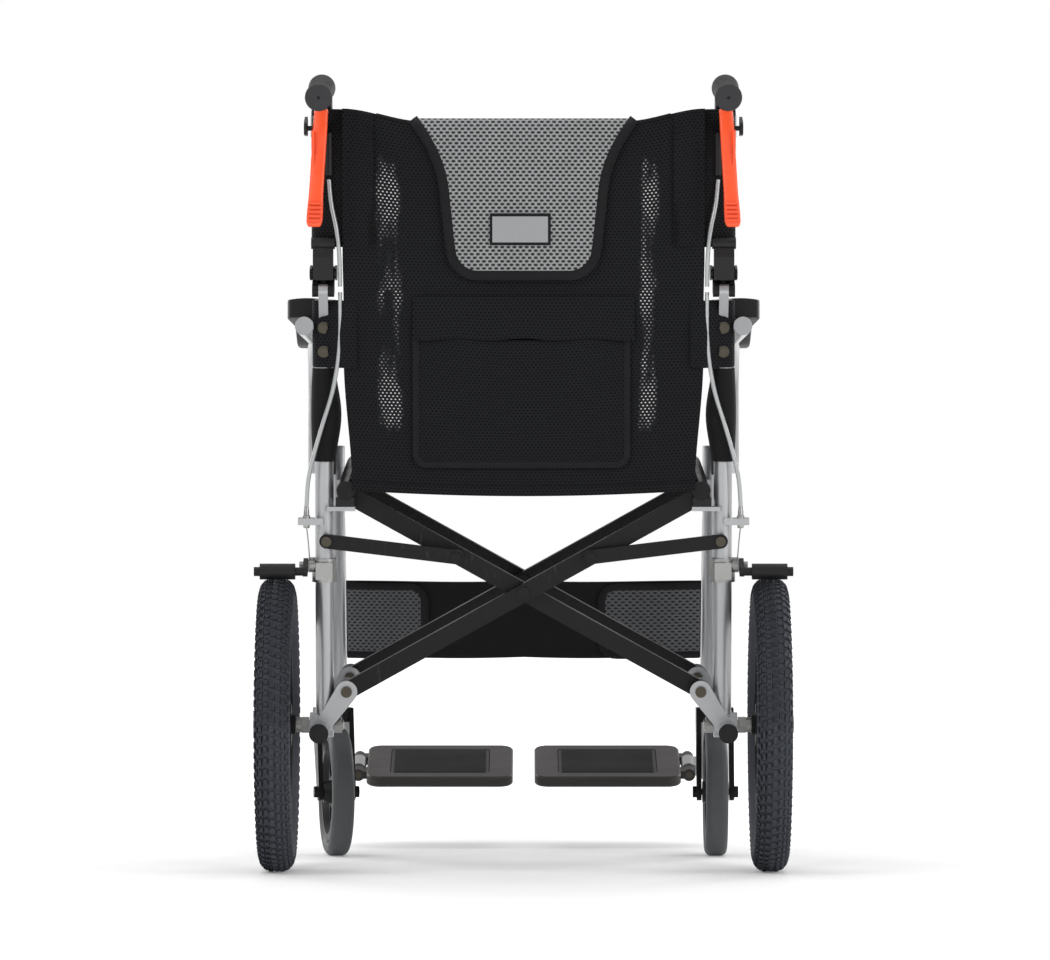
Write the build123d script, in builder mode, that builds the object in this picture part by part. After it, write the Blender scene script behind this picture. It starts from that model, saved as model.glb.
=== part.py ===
"""Folding transit wheelchair, pushed by an attendant.

Axes: +X to the chair's right, +Y forward, +Z up, origin on the floor under the middle of the chair.
Millimetres and degrees. Each paired piece is drawn on the left, at negative X, and mirrored.
"""

import os
from math import cos, radians, sin, tan

from build123d import *

# ---------------------------------------------------------------- driving sizes
AXLE_Y = -235.0  # rear axle, behind the middle of the chair
WHEEL_RADIUS = 175.0  # rear wheel, over the tyre
WHEEL_X = 294.0
TYRE_WIDTH = 43.0
TILT = 5.5  # the seat rises to the front and the back leans by this much
TUBE_RADIUS = 11.0
FRAME_X = 237.0  # rear upright and push handle
RAIL_X = 243.0  # lower rail
FIT = 0.05  # radial clearance of a pin or shaft in its bore

# scissor brace, in the plane of the back (across, up)
PIVOT_X = 211.0
PIVOT_UP = 41.2  # above the rear axle
BRACE_ANGLE = 29.1
BRACE_SPACING = 145.0  # from the rear cross to the front cross
ARM_RADIUS = 10.5
ARM_THICK = 14.0

# caster
CASTER_X = 241.0
CASTER_Y = AXLE_Y + 405.0
CASTER_RADIUS = 80.0
CASTER_WIDTH = 28.0
CASTER_TRAIL = 36.0
CASTER_TOE = 9.0  # the left caster stands turned this much

# back
BACK_HINGE_UP = 520.0
BACK_HINGE_BACK = 24.0
SLING_BACK = 24.0  # middle of the back sling, behind the upright's axis
SLING_EDGE = 200.0
SLING_GAP = 32.0  # each half ends this far from the middle, so that the halves clear in the fold
SLING_THICK = 4.0

# armrest and front
ARM_TUBE_X = 260.0
ARM_TUBE_Z = 649.0
FRONT_UPRIGHT_X = 236.0
FRONT_UPRIGHT_Y = AXLE_Y + 372.0
HANGER_X = 236.0
HANGER_TOP = (AXLE_Y + 430.0, 425.0)
HANGER_END = (AXLE_Y + 575.0, 95.0)
HANGER_RADIUS = 10.0

# footplate
FOOT_TILT = 13.0
FOOT_HINGE_X = 214.0
FOOT_Y = AXLE_Y + 628.2
FOOT_Z = 103.0
FOOT_LENGTH = 160.0
FOOT_INNER_X = 14.0
FOOT_THICK = 14.0

# push handle
GRIP_END = (AXLE_Y - 235.0, 906.0)
GRIP_DROP = 10.0
GRIP_RADIUS = 16.0
GRIP_LENGTH = 128.0

# ---------------------------------------------------------------- frames of reference
TILT_COS = cos(radians(TILT))
TILT_SIN = sin(radians(TILT))
# the plane of the back, seen from behind: local x across, local y up the back, normal rearward
BACK = Plane(
    origin=(0, AXLE_Y, WHEEL_RADIUS),
    x_dir=(1, 0, 0),
    z_dir=(0, -TILT_COS, -TILT_SIN),
)
# the same frame seen from the left: local x rearward, local y up the back, normal to the left
SIDE = Plane(origin=BACK.origin, x_dir=BACK.z_dir, z_dir=(-1, 0, 0))
HALF_ARM = PIVOT_X / cos(radians(BRACE_ANGLE))
CENTRE_UP = PIVOT_UP + HALF_ARM * sin(radians(BRACE_ANGLE))
TOP_UP = 2 * CENTRE_UP - PIVOT_UP
SEAT_RAIL_UP = TOP_UP + 6.0


def at(across, up, back):
    """A point of the back's frame, in the chair's frame."""
    return BACK.from_local_coords((across, up, back))


def rod(points, bends, radius):
    """A round bar along straight runs joined by tangent arcs."""
    with BuildPart() as bar:
        with BuildLine() as route:
            if len(points) > 2:
                FilletPolyline(*points, radius=bends)
            else:
                Line(*points)
        with BuildSketch(Plane(origin=route.line @ 0, z_dir=route.line % 0)):
            Circle(radius)
        sweep()
    return bar.part


def cross_pin(up, back, from_x, to_x, radius):
    """A round bar across the chair, between two distances left of the middle."""
    with BuildPart() as pin:
        with BuildSketch(SIDE.offset(from_x)):
            with Locations((back, up)):
                Circle(radius)
        extrude(amount=to_x - from_x)
    return pin.part


def cross_pin_level(centre, from_x, to_x, radius):
    """A round bar across the chair, with its centre given forward and up from the floor's origin."""
    with BuildPart() as pin:
        with BuildSketch(Plane.YZ.offset(-to_x)):
            with Locations(centre):
                Circle(radius)
        extrude(amount=to_x - from_x)
    return pin.part


def brace_pin(across, up, from_back, to_back, radius):
    """A round bar along the scissor's axes, between two distances behind the rear axle."""
    with BuildPart() as pin:
        with BuildSketch(BACK.offset(from_back)):
            with Locations((across, up)):
                Circle(radius)
        extrude(amount=to_back - from_back)
    return pin.part


def write(part, name):
    """Label one piece and write its STEP file."""
    part.label = name
    export_step(part, f"parts/{name}.step")


def write_pair(part, name):
    """Write a piece drawn on the left, and its mirror image on the right."""
    write(part, f"{name}_left")
    write(mirror(part, about=Plane.YZ), f"{name}_right")


os.makedirs("parts", exist_ok=True)

# ---------------------------------------------------------------- side frame
RAIL_UP = -4.7
SOCKET_UP = 508.0
FRONT_UPRIGHT_TOP = 515.0
HOUSING_BOTTOM, HOUSING_TOP = 187.0, 237.0
HOUSING_RADIUS = 17.0
STEM_RADIUS = 8.0
AXLE_RADIUS = 6.0
PLATE_THICK = 3.0
PLATE_REAR, PLATE_FRONT = 12.0, -22.5  # the two plates that hold a brace pivot
PIVOT_BOLT_RADIUS = 4.0
LINK_X, LINK_UP = 234.0, 222.0
STOP_UP, STOP_BACK = 241.0, 12.0
CABLE_RADIUS = 2.5
KNUCKLE_RADIUS = 8.0
HINGE_PIN_RADIUS = 4.0
FOOT_PIN_RADIUS = 4.0
FOOT_LUG = 22.0  # half the length of the lug between the footplate's ears

rear_upright = [at(-FRAME_X, RAIL_UP, 0), at(-FRAME_X, SOCKET_UP, 0)]
lower_rail = [at(-RAIL_X, RAIL_UP, 45), at(-RAIL_X, RAIL_UP, -395)]
front_upright = [
    (-FRONT_UPRIGHT_X, FRONT_UPRIGHT_Y, HOUSING_TOP - 30),
    (-FRONT_UPRIGHT_X, FRONT_UPRIGHT_Y, FRONT_UPRIGHT_TOP),
]
armrest_tube = [
    (-ARM_TUBE_X, AXLE_Y - 62, ARM_TUBE_Z),
    (-ARM_TUBE_X, FRONT_UPRIGHT_Y, ARM_TUBE_Z),
    (-ARM_TUBE_X, FRONT_UPRIGHT_Y, 480),
]
ARMREST_BEND = 55.0
ARM_TUBE_UP = (ARM_TUBE_Z - WHEEL_RADIUS) / TILT_COS
hanger = [
    (-HANGER_X, FRONT_UPRIGHT_Y + 4, HANGER_TOP[1]),
    (-HANGER_X, *HANGER_TOP),
    (-HANGER_X, *HANGER_END),
]
HANGER_BEND = 45.0
# the footplate's frame: local x across, local y forward along the plate, normal up
FOOT = Plane(
    origin=(0, FOOT_Y, FOOT_Z),
    x_dir=(1, 0, 0),
    z_dir=(0, -sin(radians(FOOT_TILT)), cos(radians(FOOT_TILT))),
)
FOOT_ACROSS = Plane(origin=FOOT.origin, x_dir=(1, 0, 0), z_dir=-FOOT.y_dir)


def foot_pin(from_y, to_y, radius):
    """A round bar along the footplate's hinge line."""
    start = FOOT.from_local_coords((-FOOT_HINGE_X, from_y, 0))
    end = FOOT.from_local_coords((-FOOT_HINGE_X, to_y, 0))
    return rod([start, end], None, radius)


with BuildPart() as side_frame:
    add(rod(hanger, HANGER_BEND, HANGER_RADIUS))
    for run in (rear_upright, lower_rail, front_upright):
        add(rod(run, None, TUBE_RADIUS))
    add(rod(armrest_tube, ARMREST_BEND, TUBE_RADIUS))
    # stub that joins the armrest tube to the upright
    add(cross_pin(ARM_TUBE_UP, 0, FRAME_X + 2, ARM_TUBE_X - 2, 7))
    # caster housing
    with BuildSketch(Plane.XY.offset(HOUSING_BOTTOM)):
        with Locations((-CASTER_X, CASTER_Y)):
            Circle(HOUSING_RADIUS)
    extrude(amount=HOUSING_TOP - HOUSING_BOTTOM)
    # axle boss
    add(cross_pin(0, 0, RAIL_X - 16, RAIL_X + 12, 15))
    # clamp that holds the armrest's front end to the front upright
    with BuildSketch(Plane.XY.offset(488)):
        with Locations((-(ARM_TUBE_X + FRONT_UPRIGHT_X) / 2, FRONT_UPRIGHT_Y)):
            RectangleRounded(46, 28, 12)
    extrude(amount=24)
    # lug of the footplate's hinge, at the lower end of the hanger
    add(foot_pin(-FOOT_LUG, FOOT_LUG, 9.5))
    with BuildSketch(FOOT_ACROSS.offset(-FOOT_LUG)):
        with Locations((-FOOT_HINGE_X - 13, 0)):
            Rectangle(22, 14)
    extrude(amount=2 * FOOT_LUG)
    foot_lug_end = FOOT.from_local_coords((-HANGER_X, 0, 0))
    add(rod([(-HANGER_X, *HANGER_END), foot_lug_end], None, HANGER_RADIUS - 1))
    # plates for the brace pivots
    for cross in (0, BRACE_SPACING):
        for face in (PLATE_REAR, PLATE_FRONT):
            with BuildSketch(BACK.offset(face - cross)):
                with Locations((-PIVOT_X, PIVOT_UP)):
                    Circle(13)
                with Locations((-RAIL_X + 4, RAIL_UP + 5)):
                    Circle(9)
                make_hull()
                with Locations((-PIVOT_X, PIVOT_UP)):
                    Circle(PIVOT_BOLT_RADIUS + FIT, mode=Mode.SUBTRACT)
            extrude(amount=PLATE_THICK)
    # tabs under the saddles of the seat rail
    with BuildSketch(BACK.offset(2)):
        with Locations((-(FRAME_X - 10), SEAT_RAIL_UP - 22)):
            Rectangle(12, 5)
    extrude(amount=16)
    with BuildSketch(BACK.offset(11.5)):
        with Locations((-(FRAME_X - 20), SEAT_RAIL_UP - 22)):
            Rectangle(34, 5)
    extrude(amount=6.5)
    with BuildSketch(BACK.offset(-392)):
        with Locations((-(FRONT_UPRIGHT_X - 19), SEAT_RAIL_UP - 22)):
            Rectangle(34, 5)
    extrude(amount=26)
    # arm that stops the brake cable
    with BuildSketch(BACK.offset(STOP_BACK - 8)):
        with Locations((-(FRAME_X + 16), STOP_UP + 4)):
            Rectangle(30, 8)
    extrude(amount=16)
    # lower leaf and knuckle of the back's hinge
    with BuildSketch(SIDE.offset(FRAME_X - 5.5)):
        with Locations((BACK_HINGE_BACK, BACK_HINGE_UP)):
            Circle(KNUCKLE_RADIUS)
        with Locations((7, SOCKET_UP - 20), (7, SOCKET_UP - 12)):
            Circle(5)
        make_hull()
    extrude(amount=11)
    add(
        cross_pin(BACK_HINGE_UP, BACK_HINGE_BACK, FRAME_X - 20, FRAME_X + 20, HINGE_PIN_RADIUS + FIT),
        mode=Mode.SUBTRACT,
    )
    # bores for the axle, the caster's stem and the footplate's pin
    add(cross_pin(0, 0, RAIL_X - 30, RAIL_X + 30, AXLE_RADIUS + FIT), mode=Mode.SUBTRACT)
    with BuildSketch(Plane.XY.offset(HOUSING_BOTTOM)):
        with Locations((-CASTER_X, CASTER_Y)):
            Circle(STEM_RADIUS + FIT)
    extrude(amount=HOUSING_TOP - HOUSING_BOTTOM, mode=Mode.SUBTRACT)
    add(foot_pin(-FOOT_LUG - 1, FOOT_LUG + 1, FOOT_PIN_RADIUS + FIT), mode=Mode.SUBTRACT)
write_pair(side_frame.part, "side_frame")

# ---------------------------------------------------------------- armrest pad
PAD_WIDTH = 50.0
with BuildPart() as armrest_pad:
    with BuildSketch(Plane.YZ.offset(-ARM_TUBE_X + 1 - PAD_WIDTH / 2)):
        with BuildLine():
            Polyline(
                (AXLE_Y - 8, ARM_TUBE_Z + TUBE_RADIUS + 0.5),
                (AXLE_Y - 8, 685),
                (AXLE_Y + 300, 685),
                (AXLE_Y + 366, 673),
                (AXLE_Y + 396, 650),
                (AXLE_Y + 392, 638),
                (AXLE_Y + 340, 640),
                (AXLE_Y + 300, ARM_TUBE_Z + TUBE_RADIUS + 0.5),
                close=True,
            )
        make_face()
    extrude(amount=PAD_WIDTH)
    fillet(armrest_pad.edges().filter_by(Axis.X).sort_by(Axis.Z)[-4:], radius=9)
    add(rod(armrest_tube, ARMREST_BEND, TUBE_RADIUS + 0.3), mode=Mode.SUBTRACT)
write_pair(armrest_pad.part, "armrest_pad")

# ---------------------------------------------------------------- side guard
GUARD_THICK = 3.0
with BuildPart() as side_guard:
    with BuildSketch(Plane.YZ.offset(-FRAME_X - GUARD_THICK / 2)):
        with BuildLine():
            Polyline(
                (AXLE_Y - 20, 478),
                (AXLE_Y + 354, 478),
                (AXLE_Y + 354, 560),
                (AXLE_Y + 300, 628),
                (AXLE_Y + 20, 628),
                (AXLE_Y - 28, 600),
                close=True,
            )
        make_face()
    extrude(amount=GUARD_THICK)
    add(rod([at(-FRAME_X, 316, 0), at(-FRAME_X, 426, 0)], None, TUBE_RADIUS + 2))
    add(rod([at(-FRAME_X, 296, 0), at(-FRAME_X, 460, 0)], None, TUBE_RADIUS + 0.2), mode=Mode.SUBTRACT)
write_pair(side_guard.part, "side_guard")

# ---------------------------------------------------------------- rear wheel
RIM_OUTER, RIM_INNER, RIM_WIDTH = 133.0, 118.0, 27.0
HUB_RADIUS, HUB_HALF = 17.0, 22.0
SPOKES = 28
TYRE_SECTION = TYRE_WIDTH / 2
WHEEL = Plane(origin=(-WHEEL_X, AXLE_Y, WHEEL_RADIUS), x_dir=(1, 0, 0), z_dir=(0, -1, 0))
AXLE_LINE = Axis((-WHEEL_X, AXLE_Y, WHEEL_RADIUS), (1, 0, 0))

with BuildPart() as rear_tyre:
    with BuildSketch(WHEEL):
        with Locations((0, WHEEL_RADIUS - TYRE_SECTION)):
            Circle(TYRE_SECTION)
        with Locations((0, RIM_OUTER - 20)):
            Rectangle(TYRE_WIDTH, 40, mode=Mode.SUBTRACT)
    revolve(axis=AXLE_LINE)
write_pair(rear_tyre.part, "rear_tyre")

with BuildPart() as rear_rim:
    with BuildSketch(WHEEL):
        with BuildLine():
            Polyline(
                (-RIM_WIDTH / 2, RIM_OUTER - 0.1),
                (RIM_WIDTH / 2, RIM_OUTER - 0.1),
                (RIM_WIDTH / 2, RIM_OUTER - 8),
                (7, RIM_INNER),
                (-7, RIM_INNER),
                (-RIM_WIDTH / 2, RIM_OUTER - 8),
                close=True,
            )
        make_face()
    revolve(axis=AXLE_LINE)
write_pair(rear_rim.part, "rear_rim")

with BuildPart() as rear_hub:
    with BuildSketch(WHEEL):
        with BuildLine():
            Polyline(
                (-HUB_HALF, AXLE_RADIUS + FIT),
                (-HUB_HALF, HUB_RADIUS - 5),
                (-HUB_HALF + 5, HUB_RADIUS - 5),
                (-HUB_HALF + 5, HUB_RADIUS + 8),
                (-HUB_HALF + 9, HUB_RADIUS + 8),
                (-HUB_HALF + 11, HUB_RADIUS),
                (HUB_HALF - 11, HUB_RADIUS),
                (HUB_HALF - 9, HUB_RADIUS + 8),
                (HUB_HALF - 5, HUB_RADIUS + 8),
                (HUB_HALF - 5, HUB_RADIUS - 5),
                (HUB_HALF, HUB_RADIUS - 5),
                (HUB_HALF, AXLE_RADIUS + FIT),
                close=True,
            )
        make_face()
    revolve(axis=AXLE_LINE)
    for spoke in range(SPOKES):
        turn = radians(360 / SPOKES * spoke)
        lean = radians(360 / SPOKES * (spoke + (2.2 if spoke % 4 < 2 else -2.2)))
        flange = (HUB_HALF - 7) * (1 if spoke % 2 else -1)
        inner, outer = HUB_RADIUS + 5, RIM_INNER - 0.25
        start = (-WHEEL_X + flange, AXLE_Y + inner * sin(lean), WHEEL_RADIUS + inner * cos(lean))
        end = (-WHEEL_X + flange / 4, AXLE_Y + outer * sin(turn), WHEEL_RADIUS + outer * cos(turn))
        add(rod([start, end], None, 1.1))
write_pair(rear_hub.part, "rear_hub")

# ---------------------------------------------------------------- rear axle, with its nuts
HUB_INNER_X = WHEEL_X - HUB_HALF
with BuildPart() as rear_axle:
    add(cross_pin(0, 0, 215, 322, AXLE_RADIUS))
    for nut_x, nut_thick in ((217, 9), (RAIL_X + 13, 9), (WHEEL_X + HUB_HALF + 0.5, 6)):
        with BuildSketch(SIDE.offset(nut_x)):
            RegularPolygon(10.5, 6)
        extrude(amount=nut_thick)
    add(cross_pin(0, 0, RAIL_X + 22, HUB_INNER_X - 0.5, 9))
write_pair(rear_axle.part, "rear_axle")

# ---------------------------------------------------------------- caster
CASTER_AXLE_Y = CASTER_Y - CASTER_TRAIL
CASTER_WHEEL = Plane(origin=(-CASTER_X, CASTER_AXLE_Y, CASTER_RADIUS), x_dir=(1, 0, 0), z_dir=(0, -1, 0))
CASTER_AXLE = Axis((-CASTER_X, CASTER_AXLE_Y, CASTER_RADIUS), (1, 0, 0))
CASTER_HUB_RADIUS = 62.0
CASTER_BOLT_RADIUS = 4.0
CROWN_BOTTOM, CROWN_TOP = 167.0, 185.0
LEG_THICK, LEG_GAP = 6.0, 17.5  # each leg's thickness, and its inner face's distance from the wheel's middle
STEER = Axis((-CASTER_X, CASTER_Y, 0), (0, 0, 1))

with BuildPart() as caster_fork:
    for leg in (LEG_GAP, -LEG_GAP - LEG_THICK):
        with BuildSketch(Plane.YZ.offset(-CASTER_X + leg)):
            with Locations((CASTER_AXLE_Y, CASTER_RADIUS)):
                Circle(11)
            with Locations((CASTER_Y - 2, CROWN_BOTTOM + 9)):
                Rectangle(40, 18)
            make_hull()
            with Locations((CASTER_AXLE_Y, CASTER_RADIUS)):
                Circle(CASTER_BOLT_RADIUS + FIT, mode=Mode.SUBTRACT)
        extrude(amount=LEG_THICK)
    with BuildSketch(Plane.XY.offset(CROWN_BOTTOM)):
        with Locations((-CASTER_X, CASTER_Y - 2)):
            RectangleRounded(2 * (LEG_GAP + LEG_THICK), 40, 8)
    extrude(amount=CROWN_TOP - CROWN_BOTTOM)
    with BuildSketch(Plane.XY.offset(CROWN_TOP)):
        with Locations((-CASTER_X, CASTER_Y)):
            Circle(STEM_RADIUS)
    extrude(amount=HOUSING_TOP + 4 - CROWN_TOP)
    with BuildSketch(Plane.XY.offset(HOUSING_TOP + 0.5)):
        with Locations((-CASTER_X, CASTER_Y)):
            Circle(HOUSING_RADIUS - 2)
    extrude(amount=8)
    # its axle bolt turns in the legs' bores with clearance, so it stays a solid of its own
    with BuildSketch(Plane.YZ.offset(-CASTER_X - LEG_GAP - LEG_THICK - FIT)):
        with Locations((CASTER_AXLE_Y, CASTER_RADIUS)):
            Circle(CASTER_BOLT_RADIUS)
    extrude(amount=2 * (LEG_GAP + LEG_THICK + FIT))
    for face, thick in ((LEG_GAP + LEG_THICK + FIT, 5), (-LEG_GAP - LEG_THICK - FIT, -5)):
        with BuildSketch(Plane.YZ.offset(-CASTER_X + face)):
            with Locations((CASTER_AXLE_Y, CASTER_RADIUS)):
                RegularPolygon(8, 6)
        extrude(amount=thick)

with BuildPart() as caster_tyre:
    with BuildSketch(CASTER_WHEEL):
        with Locations((0, (CASTER_HUB_RADIUS + CASTER_RADIUS) / 2)):
            RectangleRounded(CASTER_WIDTH, CASTER_RADIUS - CASTER_HUB_RADIUS, 8)
    revolve(axis=CASTER_AXLE)

with BuildPart() as caster_hub:
    with BuildSketch(CASTER_WHEEL):
        with BuildLine():
            Polyline(
                (-16.5, CASTER_BOLT_RADIUS + FIT),
                (-16.5, 13),
                (-5, 15),
                (-5, CASTER_HUB_RADIUS - 12),
                (-12, CASTER_HUB_RADIUS - 9),
                (-12, CASTER_HUB_RADIUS - 0.1),
                (12, CASTER_HUB_RADIUS - 0.1),
                (12, CASTER_HUB_RADIUS - 9),
                (5, CASTER_HUB_RADIUS - 12),
                (5, 15),
                (16.5, 13),
                (16.5, CASTER_BOLT_RADIUS + FIT),
                close=True,
            )
        make_face()
    revolve(axis=CASTER_AXLE)
    with BuildSketch(Plane.YZ.offset(-CASTER_X - 6)):
        with Locations((CASTER_AXLE_Y, CASTER_RADIUS)):
            with PolarLocations(33, 6):
                Circle(11)
    extrude(amount=12, mode=Mode.SUBTRACT)

for caster_name, caster_piece in (
    ("caster_fork", caster_fork.part),
    ("caster_tyre", caster_tyre.part),
    ("caster_hub", caster_hub.part),
):
    write(caster_piece.rotate(STEER, CASTER_TOE), f"{caster_name}_left")
    write(mirror(caster_piece, about=Plane.YZ), f"{caster_name}_right")

# ---------------------------------------------------------------- footplate
FOOT_OUTER_X = 203.0
FOOT_EAR_START, FOOT_EAR_END = 24.0, 46.0
FOOT_PAD_THICK = 2.0
FOOT_MIDDLE_X = (FOOT_INNER_X + FOOT_OUTER_X) / 2
PAD_LENGTH, PAD_BREADTH = 118.0, 128.0
with BuildPart() as footplate:
    with BuildSketch(FOOT.offset(-FOOT_THICK / 2)):
        with Locations((-FOOT_MIDDLE_X, 0)):
            RectangleRounded(FOOT_OUTER_X - FOOT_INNER_X, FOOT_LENGTH, 18)
    extrude(amount=FOOT_THICK)
    chamfer(footplate.faces().sort_by(Axis.Z)[-1].edges(), length=2)
    with BuildSketch(FOOT.offset(FOOT_THICK / 2)):
        with Locations((-FOOT_MIDDLE_X, 0)):
            RectangleRounded(PAD_BREADTH + 0.6, PAD_LENGTH + 0.6, 6)
    extrude(amount=-FOOT_PAD_THICK, mode=Mode.SUBTRACT)
    for ear in (FOOT_EAR_START, -FOOT_EAR_END):
        with BuildSketch(FOOT_ACROSS.offset(ear)):
            with Locations((-FOOT_HINGE_X, 0)):
                Circle(8)
            with Locations((-FOOT_OUTER_X - 2, 0)):
                Rectangle(10, 10)
        extrude(amount=FOOT_EAR_END - FOOT_EAR_START)
    add(foot_pin(-FOOT_EAR_END - 1, FOOT_EAR_END + 1, FOOT_PIN_RADIUS + FIT), mode=Mode.SUBTRACT)
write_pair(footplate.part, "footplate")

with BuildPart() as footplate_pad:
    with BuildSketch(FOOT.offset(FOOT_THICK / 2 - FOOT_PAD_THICK + 0.05)):
        with Locations((-FOOT_MIDDLE_X, 0)):
            RectangleRounded(PAD_BREADTH, PAD_LENGTH, 6)
    extrude(amount=FOOT_PAD_THICK)
write_pair(footplate_pad.part, "footplate_pad")

# ---------------------------------------------------------------- scissor brace
# Each arm goes from a lower pivot on one side to the seat rail on the other. The rear faces of the two
# crossing arms lie at these distances behind the rear axle.
ARM_A_REAR, ARM_B_REAR = 11.0, -4.5
RIVET_RADIUS = 6.0
RAIL_REAR, RAIL_FRONT = 14.0, -372.0
for arm_name, side, rear in (("brace_arms_left", -1, ARM_A_REAR), ("brace_arms_right", 1, ARM_B_REAR)):
    with BuildPart() as brace_arms:
        for cross in (0, BRACE_SPACING):
            face = rear - ARM_THICK - cross
            with BuildSketch(BACK.offset(face)):
                with Locations((side * PIVOT_X, PIVOT_UP), (-side * PIVOT_X, TOP_UP)):
                    Circle(ARM_RADIUS)
                make_hull()
                with Locations((side * PIVOT_X, PIVOT_UP)):
                    Circle(PIVOT_BOLT_RADIUS + FIT, mode=Mode.SUBTRACT)
            extrude(amount=ARM_THICK)
            add(
                brace_pin(-side * PIVOT_X, SEAT_RAIL_UP, face - 1, face + ARM_THICK + 1, TUBE_RADIUS + FIT),
                mode=Mode.SUBTRACT,
            )
            if side < 0:
                # the centre rivet is fixed in this arm and runs in the other one
                add(brace_pin(0, CENTRE_UP, ARM_B_REAR - ARM_THICK - 0.5 - cross, face + 1, RIVET_RADIUS))
                add(brace_pin(0, CENTRE_UP, ARM_B_REAR - ARM_THICK - 3.5 - cross,
                              ARM_B_REAR - ARM_THICK - 0.5 - cross, 10))
                add(brace_pin(0, CENTRE_UP, ARM_A_REAR - 1 - cross, ARM_A_REAR + 3 - cross, 8))
            else:
                rivet_hole = brace_pin(0, CENTRE_UP, face - 1, face + ARM_THICK + 1, RIVET_RADIUS + FIT)
                add(rivet_hole, mode=Mode.SUBTRACT)
    write(brace_arms.part, arm_name)

with BuildPart() as seat_rail:
    add(brace_pin(-PIVOT_X, SEAT_RAIL_UP, RAIL_FRONT, RAIL_REAR, TUBE_RADIUS))
    # plugs in the ends
    for inner, outer in ((RAIL_REAR + FIT, RAIL_REAR + 4), (RAIL_FRONT - 4, RAIL_FRONT - FIT)):
        add(brace_pin(-PIVOT_X, SEAT_RAIL_UP, inner, outer, TUBE_RADIUS))
write_pair(seat_rail.part, "seat_rail")

# link bar from the upright to the far arm; its inner pivot stays open, with clearance
LINK_REACH_X, LINK_REACH_UP = 80.0, 203.2
LINK_FRONT, LINK_THICK = 19.0, 5.0
LINK_RADIUS = 8.5
with BuildPart() as brace_link:
    with BuildSketch(BACK.offset(LINK_FRONT)):
        with Locations((-LINK_X, LINK_UP), (-LINK_REACH_X, LINK_REACH_UP)):
            Circle(LINK_RADIUS)
        make_hull()
        with Locations((-LINK_X, LINK_UP)):
            Circle(PIVOT_BOLT_RADIUS + FIT, mode=Mode.SUBTRACT)
    extrude(amount=LINK_THICK)
    # bolt head of the open pivot, fixed in the link, with its spacer
    add(brace_pin(-LINK_REACH_X, LINK_REACH_UP, ARM_A_REAR + 1.5, LINK_FRONT + 1, 5))
    add(brace_pin(-LINK_REACH_X, LINK_REACH_UP, LINK_FRONT + LINK_THICK - 1, LINK_FRONT + LINK_THICK + 3, 6))
write_pair(brace_link.part, "brace_link")

# ---------------------------------------------------------------- plastic saddles and the lower rail's plug
with BuildPart() as saddles:
    for back, depth in ((12, 5.5), (-378, 12)):
        with BuildSketch(BACK.offset(back)):
            with Locations((-PIVOT_X - 1, SEAT_RAIL_UP - 14)):
                Rectangle(22, 11)
            with Locations((-PIVOT_X, SEAT_RAIL_UP)):
                Circle(TUBE_RADIUS + 0.3, mode=Mode.SUBTRACT)
        extrude(amount=depth)
    add(rod([at(-RAIL_X, RAIL_UP, 45 + FIT), at(-RAIL_X, RAIL_UP, 50)], None, TUBE_RADIUS + 0.5))
write_pair(saddles.part, "saddles_and_plug")

# ---------------------------------------------------------------- bolts, nuts and pins of the side frame
FLAP_BOLT_UPS = (447.0, 475.5)
with BuildPart() as frame_bolts:
    for up in FLAP_BOLT_UPS:
        add(brace_pin(-FRAME_X, up, TUBE_RADIUS + 0.1, TUBE_RADIUS + 4, 7))
        add(brace_pin(-FRAME_X, up, TUBE_RADIUS + 3, TUBE_RADIUS + 7, 5))
    # link pivot
    add(brace_pin(-LINK_X, LINK_UP, TUBE_RADIUS + 0.1, LINK_FRONT - 0.3, 6.5))
    add(brace_pin(-LINK_X, LINK_UP, LINK_FRONT - 1, LINK_FRONT + LINK_THICK + 0.5, PIVOT_BOLT_RADIUS))
    add(brace_pin(-LINK_X, LINK_UP, LINK_FRONT + LINK_THICK + 0.3, LINK_FRONT + LINK_THICK + 4, 6))
    # brace pivots
    for cross in (0, BRACE_SPACING):
        add(brace_pin(-PIVOT_X, PIVOT_UP, PLATE_FRONT - 4 - cross, PLATE_REAR + 6 - cross, PIVOT_BOLT_RADIUS))
        head_from = PLATE_REAR + PLATE_THICK + 0.1 - cross
        add(brace_pin(-PIVOT_X, PIVOT_UP, head_from, PLATE_REAR + 8 - cross, 6.5))
        add(brace_pin(-PIVOT_X, PIVOT_UP, PLATE_FRONT - 5 - cross, PLATE_FRONT - 0.1 - cross, 6.5))
    # pins of the back's hinge and of the footplate's hinge
    add(cross_pin(BACK_HINGE_UP, BACK_HINGE_BACK, FRAME_X - 12.5, FRAME_X + 12.5, HINGE_PIN_RADIUS))
    add(foot_pin(-FOOT_EAR_END, FOOT_EAR_END, FOOT_PIN_RADIUS))
write_pair(frame_bolts.part, "frame_bolts")

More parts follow.
